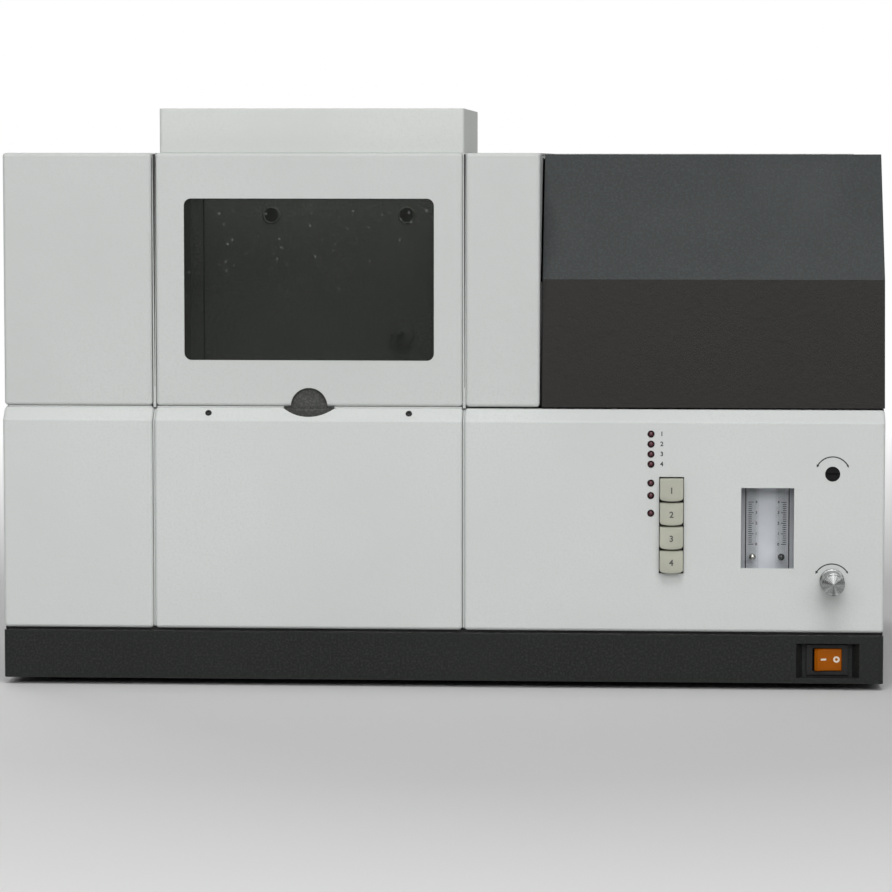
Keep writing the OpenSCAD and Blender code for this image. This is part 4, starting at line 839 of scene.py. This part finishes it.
seamSet = {"soft": 0.2, "lowerGap": 0.42, "lowerDeep": 2.2, "headDown": 1.2, "slope": 9.7, "end": 1.0,
           "postTop": 18.0, "postGap": 0.5, "earBack": 6.3,
           # the left and right entries also size the dark strips of painted shade beside the burner door
           "left": {"from": -2.8, "to": -0.4, "deep": 2.0, "shadeHalf": (1.0, 0.12), "shadeAt": -1.35},
           "right": {"from": 0.25, "to": 2.68, "deep": 2.0, "shadeHalf": (0.75, 0.12), "shadeAt": 1.75},
           "shadeProud": 0.2, "shadeLong": 195.0, "sillTall": 1.2, "sillDeep": (0.9, 4.0), "scoopHalf": 21.3,
           "slitWide": 1.75, "slitTall": 104.0, "slitDeep": (3.0, 0.3), "wallSeam": (-228.3, -227.0),
           "wallEnd": 4.0, "trayEnd": 0.4, "trayDeep": (-244.0, -236.0)}
linerThick = 1.5


def barPatch(low, high, soft):  # a bar between two corners: a rounded rectangle pulled along the depth
    low, high = np.asarray(low), np.asarray(high)
    wide, _, tall = high - low
    outline = roundRect(wide, tall, soft, 3) + ((low + high) / 2)[[0, 2]]
    return softPrism(outline, low[1], high[1], soft, "y", 3)


def addSeams(s):
    # pale strips fill each gap a little way in; beside the burner door a dark strip of painted shade lies
    # on the strip and narrows downwards; dark bars of painted shade fill the slit by the column and the gap
    # on the base, and one lies on the chamber's seam
    doorLow, doorHigh = nodeBox("burner_door")
    lampLow, lampHigh = nodeBox("lamp_door")
    midLow, midHigh = nodeBox("lower_centre_panel")
    linerHigh, trayHigh = nodeBox("chamber_liner")[1], nodeBox("base_tray")[1]
    leftEnd, back, sill = nodeBox("lower_left_panel")[1]
    face, top, inner = doorLow[1], doorHigh[2] - s["end"], back - 0.05
    bar = lambda x0, x1, y0, y1, z0, z1: barPatch((x0, y0, z0), (x1, y1, z1), s["soft"])
    strips, shadeAndSeamBars = [], []
    front, foot, head = midLow[1] + s["lowerDeep"], midLow[2] + s["end"], sill - s["headDown"]
    section = np.array([[inner, foot], [front, foot], [front, head - s["slope"]],
                        [front + s["slope"], head], [inner, head]])
    for a, b in ((leftEnd, midLow[0]), (midHigh[0], nodeBox("control_panel")[0][0])):
        strips.append(softPrism(resampled(section, 160), a + s["lowerGap"], b - 0.04, s["soft"], "x", 3))
    post = doorHigh[2] - s["postTop"] - s["postGap"]
    z = np.linspace(top, top - s["shadeLong"], 24)
    for edge, part in ((doorLow[0], s["left"]), (doorHigh[0], s["right"])):
        x0, x1, front = edge + part["from"], edge + part["to"], face + part["deep"]
        strips.append(bar(x0, x1, front, inner, sill + 0.02, post))
        strips.append(bar(x0, x1, front, face + s["earBack"], post, top))
        # painted shade: a dark strip on each jamb, wide at the top and narrowing downwards where the shade
        # in the gap fades
        path = np.stack([np.full(24, edge + part["shadeAt"]), z], 1)
        shadeAndSeamBars.append(ribbon(path, np.linspace(*part["shadeHalf"], 24), front - s["shadeProud"], front + 0.3))
    middle = (doorLow[0] + doorHigh[0]) / 2
    near, far = face + np.array(s["sillDeep"])
    for a, b in ((lampLow[0] + 4, lampHigh[0] - 0.5), (doorLow[0] + 0.5, middle - s["scoopHalf"]),
                 (middle + s["scoopHalf"], doorHigh[0] - 0.3)):
        strips.append(bar(a, b, near, far, sill, sill + s["sillTall"]))
    addPiece("seamStrips", strips, cabinet, "pale_paint")
    # painted shade: a dark bar fills the slit beside the column
    slit = nodeBox("column_cover")[1][0] + 0.02
    near, far = back - np.array(s["slitDeep"])
    shadeAndSeamBars.append(bar(slit, slit + s["slitWide"], near, far, doorLow[2] + 0.5, doorLow[2] + s["slitTall"]))
    wall, end = linerHigh[1] - linerThick, s["wallEnd"]
    shadeAndSeamBars.append(bar(*s["wallSeam"], wall - 1.0, wall - 0.02, doorLow[2] + end, linerHigh[2] - end))
    # painted shade: a dark bar fills the gap between the panels and the base
    reach = trayHigh[0] - s["trayEnd"]
    shadeAndSeamBars.append(bar(-reach, reach, *s["trayDeep"], trayHigh[2] + 0.02, midLow[2] - 0.1))
    # these dark bars are painted shade in the gaps, except the one on the chamber's seam
    addPiece("gapShadeAndSeamBars", shadeAndSeamBars, cabinet, "foot_rubber")


addSeams(seamSet)

catchSet = {"behind": 3.2, "thick": 1.8, "neckHalf": 14.9, "capRadius": 16.6, "neckTop": 3.1,
            "baseHalf": 24.5, "baseLow": 12.0, "baseTop": 0.6, "footHalf": 12.0, "footTall": 1.5,
            "soft": 0.3}


def addCatch(s):
    # a round-topped tongue behind the finger notch, on a wider plate under the scoop;
    # a foot ties the plate to the chamber
    low, high = nodeBox("burner_door")
    linerLow = nodeBox("chamber_liner")[0]
    x, z, half, base, foot = (low[0] + high[0]) / 2, low[2], s["neckHalf"], s["baseHalf"], s["footHalf"]
    front = low[1] + s["behind"]
    rear = front + s["thick"]
    shelf, neckTop = nodeBox("lower_centre_panel")[1][2] - s["baseTop"], z + s["neckTop"]
    start = math.degrees(math.asin(s["neckTop"] / s["capRadius"]))
    cap = arcPath((x, z), s["capRadius"], np.linspace(start, 180 - start, 60))
    neck = np.array([[x - half, neckTop], [x - half, shelf], [x + half, shelf], [x + half, neckTop]])
    tongue = softPrism(resampled(np.concatenate([cap, neck]), 140), front, rear, s["soft"], "y", 3)
    plate = barPatch((x - base, front, shelf - s["baseLow"]), (x + base, rear, shelf), s["soft"])
    end = (x + foot, linerLow[1] - 0.02, linerLow[2] + s["footTall"])
    tie = barPatch((x - foot, rear - 0.5, linerLow[2]), end, s["soft"])
    addPiece("catchPlate", [tongue, plate, tie], cabinet, "liner_paint", finish=catchPaint)


addCatch(catchSet)
print("seams made")


# Screws and feet

screwSet = {"head": 1.8, "hexShare": 0.5, "hexDeep": 1.0, "shank": 1.45, "shankLong": 4.0,
            "bevelRadius": 2.7, "bevelSpan": 168.6, "bevelBack": 5.6, "bevelDown": 4.4,
            "rearRadius": 3.2, "rearIn": 14.0, "rearLeft": 124.25, "rearRight": 105.75, "rearUp": 12.0,
            "rearDown": 14.0}


def screwPatch(radius, s):
    # a domed head with a six-sided socket: in the socket's rows the radius follows the sides of a hexagon
    head, hexRadius, floor = s["head"], radius * s["hexShare"], s["head"] - s["hexDeep"]
    bend = np.linspace(0, np.pi / 2, 7)[:-1]
    dome = np.stack([head * (0.35 + 0.65 * np.sin(bend)), radius * (0.6 + 0.4 * np.cos(bend))], 1)
    shank = [[-s["shankLong"], 0], [-s["shankLong"], s["shank"]], [0.02, s["shank"]], [0.02, radius]]
    socket = [[head, hexRadius + 0.35], [head - 0.12, hexRadius], [floor, hexRadius], [floor, 0]]
    rows = np.concatenate([shank, dome, socket])
    side = lambda angle: np.cos(np.pi / 6) / np.cos(np.mod(angle, np.pi / 3) - np.pi / 6)
    sided = lambda row, angle: np.where(row >= len(rows) - 3, side(angle), 1.0)
    return turned(rows, axis="z", count=48, ripple=sided)


def addScrews(s):
    # one at each end of the bevel, square to its slope, and four pairs on the back
    middle = nodeMiddle("burner_door")[0]
    panLow, panHigh = nodeBox("lower_centre_panel")
    rearLow, rearHigh = nodeBox("rear_panel")
    y, z = panLow[1] + s["bevelBack"], panHigh[2] - s["bevelDown"]
    front, rear = screwPatch(s["bevelRadius"], s), screwPatch(s["rearRadius"], s)
    patches = [placed(front, (middle + side * s["bevelSpan"] / 2, y, z), 45, "x") for side in (-1, 1)]
    across = (rearLow[0] + s["rearIn"], panLow[0] + s["rearLeft"], panHigh[0] + s["rearRight"],
              rearHigh[0] - s["rearIn"])
    patches += [placed(rear, (x, rearHigh[1], z), -90, "x")
                for x in across for z in (rearLow[2] + s["rearUp"], rearHigh[2] - s["rearDown"])]
    addPiece("coverScrews", patches, cabinet, "black_plastic", "cover_screws")


addScrews(screwSet)

footSet = {"radius": 18.0, "taper": 1.6, "recess": 7.0, "recessDeep": 2.2, "screw": 3.4}


def addFeet(s):
    # a tapered ring with soft lower edges round a recess that holds the fixing screw
    low, high = nodeBox("rubber_feet")
    r, tall, hole, deep = s["radius"], high[2] - low[2], s["recess"], s["recessDeep"]
    toe, screw = r - s["taper"], s["screw"]
    profile = [[tall, 0], [tall, r], [1.6, toe + 0.3], [0.5, toe], [0.0, toe - 0.8], [0.0, hole + 0.6],
               [0.5, hole], [deep, hole - 0.3], [deep, screw], [1.0, screw - 0.2],
               [0.8, screw - 0.8], [0.8, 0]]
    patches = [turned(profile, (x, y, low[2]), "z", 56)
               for x in (low[0] + r, high[0] - r) for y in (low[1] + r, high[1] - r)]
    addPiece("rubberFeet", patches, cabinet, "foot_rubber", "rubber_feet")


addFeet(footSet)
print("screws and feet made")


# Lamp bay and burner bay

cathodeSet = {"ring": 34.0, "window": 13.0, "body": 19.0, "base": 17.0, "baseLong": 28.0,
              "plate": 14.5, "plateThick": 0.8, "platesAt": (40, 66)}


def addLampSet(s):
    # four lamps on a circle: a shouldered envelope, a grooved base, and a cathode cup between two discs
    low, high = nodeBox("hollow_cathode_lamps")
    middle = (low + high) / 2
    y0, y1, seat = low[1], high[1], high[1] - s["baseLong"]
    r, w, b = s["body"], s["window"], s["base"]
    bend = np.linspace(0, np.pi, 13)
    shoulder = np.stack([np.linspace(y0 + 12, y0 + 26, 13), w + (r - w) * (0.5 - 0.5 * np.cos(bend))], 1)
    envelope = np.concatenate([[[y0, 0], [y0, w - 0.8], [y0 + 0.8, w]], shoulder,
                               [[seat - 4, r], [seat - 1, r - 1.2], [seat, r - 3], [seat, 0]]])
    base = [[seat - 0.5, 0], [seat - 0.5, b - 1], [seat + 0.5, b], [seat + 8, b], [seat + 8.6, b - 0.8],
            [seat + 10.4, b - 0.8], [seat + 11, b], [y1 - 1, b], [y1, b - 1], [y1, 0]]
    cup = [[y0 + 46, 0], [y0 + 36, 0], [y0 + 36, 3.2], [y0 + 30, 3.4], [y0 + 30, 6], [y0 + 60, 6],
           [y0 + 60, 2.2], [seat - 1, 2.2], [seat - 1, 0]]
    disc = lambda a, b: [[a, 0], [a, s["plate"]], [b, s["plate"]], [b, 0]]
    plates = [disc(y0 + d, y0 + d + s["plateThick"]) for d in s["platesAt"]]
    spots = [(middle[0] + s["ring"] * math.sin(a), 0, middle[2] - s["ring"] * math.cos(a))
             for a in np.radians([0, 90, 180, 270])]
    shells = [turned(envelope, p) for p in spots]
    inside = [turned(rows, p, count=32) for p in spots for rows in (cup, *plates)]
    addPiece("lampEnvelopes", shells, "lamp_turret", "clear_glass", "hollow_cathode_lamps", thinGlass)
    addPiece("lampBases", [turned(base, p) for p in spots], "lamp_turret", "black_plastic")
    addPiece("lampCathodes", inside, "lamp_turret", "zinc_steel")


addLampSet(cathodeSet)

burnerSet = {"half": 13.0, "tall": 18.0, "slot": 0.5, "slotUp": 8.0, "land": 2.6, "fall": 5.0, "end": 4.5,
             "collar": 18.0, "collarBore": 14.05, "ridges": 36, "ridgeDepth": 0.035,
             "screw": 2.2, "screwUp": 6.0, "screwAcross": (-44, -16, 16, 44)}


def addBurner(s):
    # two jaws of one sloped section each side of the slot, closed by end blocks, on a ridged collar
    low, high = nodeBox("burner_head")
    cx, cy, _ = (low + high) / 2
    top, foot, under = high[2], high[2] - s["tall"], low[2]
    half, slot, land, neck, bore = s["half"], s["slot"], s["land"], s["collar"], s["collarBore"]
    hip, deep = top - s["fall"], foot + s["slotUp"]
    flank = [[land, top], [half - 0.8, hip], [half, hip - 0.8], [half, foot + 0.8], [half - 0.8, foot]]
    jaw = np.array([[slot, deep], [slot, top - 0.3], [slot + 0.3, top], *flank, [0.02, foot], [0.02, deep]])
    whole = np.concatenate([flank, np.array(flank[::-1]) * [-1, 1]])
    x0, x1, inset = low[0], high[0], s["end"]
    section = lambda outline, a, b, r: placed(softPrism(outline, a, b, r, "x", 3), (0, cy, 0))
    patches = [section(resampled(jaw * [side, 1], 150), x0 + inset, x1 - inset, 0.02) for side in (1, -1)]
    patches += [section(resampled(whole, 110), a, b, 0.4) for a, b in ((x0, x0 + inset), (x1 - inset, x1))]
    collar = [[foot - 8, 0], [foot - 8, bore], [under, bore], [under, neck - 0.8], [under + 0.8, neck],
              [under + 3, neck], [under + 3.4, neck], [foot - 6, neck], [foot - 5.6, neck],
              [foot - 3, neck], [foot - 2.4, neck - 0.6], [foot + 0.1, neck - 0.6], [foot + 0.1, 0]]
    ridge = lambda angle: s["ridgeDepth"] * (0.5 + 0.5 * np.cos(s["ridges"] * angle))
    ridged = lambda row, angle: 1 - ((row == 6) | (row == 7)) * ridge(angle)
    patches.append(turned(collar, (cx, cy, 0), "z", 216, ridged))
    addPiece("burnerJaws", patches, "burner_unit", "aluminium", "burner_head")
    screw = screwPatch(s["screw"], screwSet)
    heads = [placed(screw, (cx + x, cy + side * half, foot + s["screwUp"]), -90 * side, "x")
             for x in s["screwAcross"] for side in (-1, 1)]
    addPiece("burnerScrews", heads, "burner_unit", "zinc_steel")


addBurner(burnerSet)

lensRingSet = {"inner": 14.15, "outer": 17.2, "thick": 2.6, "port": 6.05, "portOuter": 8.2,
               "portSpan": 122.0, "portShift": 6.0, "portDown": 55.5}


def addLensRings(s):
    # a stepped ring round each lens, on the chamber's side of the bay walls,
    # and a soft ring round each port in its back
    linerLow, linerHigh = nodeBox("chamber_liner")
    _, cy, cz = nodeMiddle("beam_lenses")
    inner, outer, thick, port, lip = s["inner"], s["outer"], s["thick"], s["port"], s["portOuter"]
    step = np.array([[0, inner], [0, outer], [1.6, outer], [1.9, outer - 0.3], [1.9, outer - 1.2],
                     [thick, outer - 1.6], [thick, inner + 0.4], [thick - 0.4, inner], [0, inner]])
    walls = ((linerLow[0] + linerThick, 1), (linerHigh[0] - linerThick, -1))
    rings = [turned(step * [side, 1] + [wall, 0], (0, cy, cz), "x", 48) for wall, side in walls]
    addPiece("lensRings", rings, cabinet, "black_plastic")
    doorLow, doorHigh = nodeBox("burner_door")
    wall, height = linerHigh[1] - linerThick, doorHigh[2] - s["portDown"]
    soft = [[wall, port], [wall, lip], [wall - 1.2, lip - 0.3], [wall - 1.8, lip - 1.2],
            [wall - 1.8, port + 0.6], [wall - 1.2, port], [wall, port]]
    middle = (doorLow[0] + doorHigh[0]) / 2 + s["portShift"]
    rings = [turned(soft, (middle + side * s["portSpan"] / 2, 0, height), "y", 40) for side in (-1, 1)]
    addPiece("portRings", rings, cabinet, "liner_paint")


addLensRings(lensRingSet)
print("lamp bay and burner bay made")


# Back: fan, gas tails and mains pins

fanSet = {"hub": 18.0, "shaft": 2.05, "front": 5.3, "back": 22.0, "tip": 40.5, "root": 16.5, "blades": 7,
          "chord": (15.0, 20.0), "pitch": (48.0, 30.0), "thick": 1.5, "camber": 1.2, "thinning": 0.4}


def bladePatch(s):
    # a slim loop of chord and thickness, carried out along the radius: its pitch eases and its chord grows
    share = np.linspace(0, 1, 12)[:, None]
    loop = np.linspace(0, 2 * np.pi, 24, endpoint=False)[None]
    grown = lambda pair: pair[0] + share * (pair[1] - pair[0])
    chord, pitch = grown(s["chord"]) / 2, np.radians(grown(s["pitch"]))
    across = chord * np.cos(loop)
    thick = s["thick"] / 2 * np.sin(loop) * (1 - s["thinning"] * share)
    thick = thick + s["camber"] * (1 - (across / chord) ** 2)
    along = across * np.sin(pitch) - thick * np.cos(pitch)
    aside = across * np.cos(pitch) + thick * np.sin(pitch)
    out = np.sqrt(np.maximum(grown((s["root"], s["tip"])) ** 2 - aside ** 2, 1.0))
    return closedTube(np.stack([out, along, aside], -1))


def addFan(s):
    # a turned hub, and the blade set round it at even angles
    low, high = nodeBox("fan_frame")
    cx, _, cz = (low + high) / 2
    y0, y1, hub, shaft = low[1] + s["front"], low[1] + s["back"], s["hub"], s["shaft"]
    rows = [[y1 - 1.6, 0], [y1 - 1.6, shaft], [y0, shaft], [y0, hub - 0.3], [y0 + 0.3, hub],
            [y1 - 2.5, hub], [y1 - 1, hub - 0.7], [y1 - 0.3, hub - 2], [y1, hub - 4], [y1, 0]]
    turns = [placed(bladePatch(s), turn=360 * i / s["blades"], axis="y") for i in range(s["blades"])]
    blades = [placed(blade, (cx, (y0 + y1) / 2, cz)) for blade in turns]
    hubPatch = turned(rows, (cx, 0, cz), "y", 64)
    addPiece("fanRotor", [hubPatch, *blades], "fan_rotor", "black_plastic", "fan_rotor")


addFan(fanSet)

tailSet = {"heights": (106.0, 146.0, 186.0), "tail": 5.0, "neck": 4.1, "bore": 2.5, "barbs": 4, "nut": 9.0,
           "nutTall": 8.0, "innerNut": 10.0, "sheet": 2.0, "thread": 6.0}


def addTails(s):
    # a six-sided nut with chamfered corners each side of the back, and a tail of saw-tooth barbs
    low, high = nodeBox("gas_inlets")
    back = nodeBox("rear_panel")[1][1]
    x, start, end = (low[0] + high[0]) / 2, low[1], high[1]
    neck, bore, thread, nutEnd = s["neck"], s["bore"], s["thread"], back + s["nutTall"]
    starts = np.linspace(nutEnd, end - 1.0, s["barbs"] + 1)[:-1]
    pitch = starts[1] - starts[0]
    tooth = lambda a: [[a + 0.1, neck], [a + 0.6, s["tail"]], [a + pitch - 0.2, neck + 0.1]]
    barbs = [row for a in starts for row in tooth(a)]
    tail = [[start, 0], [start, thread], [back - 2.2, thread], [back + 7.9, thread], *barbs,
            [end - 0.6, neck], [end, neck - 0.6], [end, bore], [back + 4, bore], [back + 4, 0]]
    nut = lambda a, b, r: [[a, 0], [a, r - 0.9], [a + 0.7, r], [b - 0.7, r], [b, r - 0.9], [b, 0]]
    outside = nut(back + 0.02, nutEnd, s["nut"])
    inside = nut(back - s["sheet"] - s["nutTall"], back - s["sheet"] - 0.02, s["innerNut"])
    patches = [turned(rows, (x, 0, z), "y", count)
               for z in s["heights"] for rows, count in ((tail, 48), (outside, 6), (inside, 6))]
    addPiece("gasTails", patches, cabinet, "valve_brass", "gas_inlets")


addTails(tailSet)

pinSet = {"places": ((-7.0, -2.0), (0.0, 3.0), (7.0, -2.0)), "half": (1.06, 2.06), "tip": 6.6, "root": 18.2}


def addPins(s):  # flat blades with soft tips in the mains socket
    middle, back = nodeMiddle("mains_inlet")[[0, 2]], nodeBox("rear_panel")[1][1]
    blade = roundRect(2 * s["half"][0], 2 * s["half"][1], 0.3, 4) + middle
    pins = [softPrism(blade + place, back - s["tip"], back - s["root"], 0.5) for place in s["places"]]
    addPiece("mainsPins", pins, cabinet, "valve_brass")


addPins(pinSet)
print("back made")
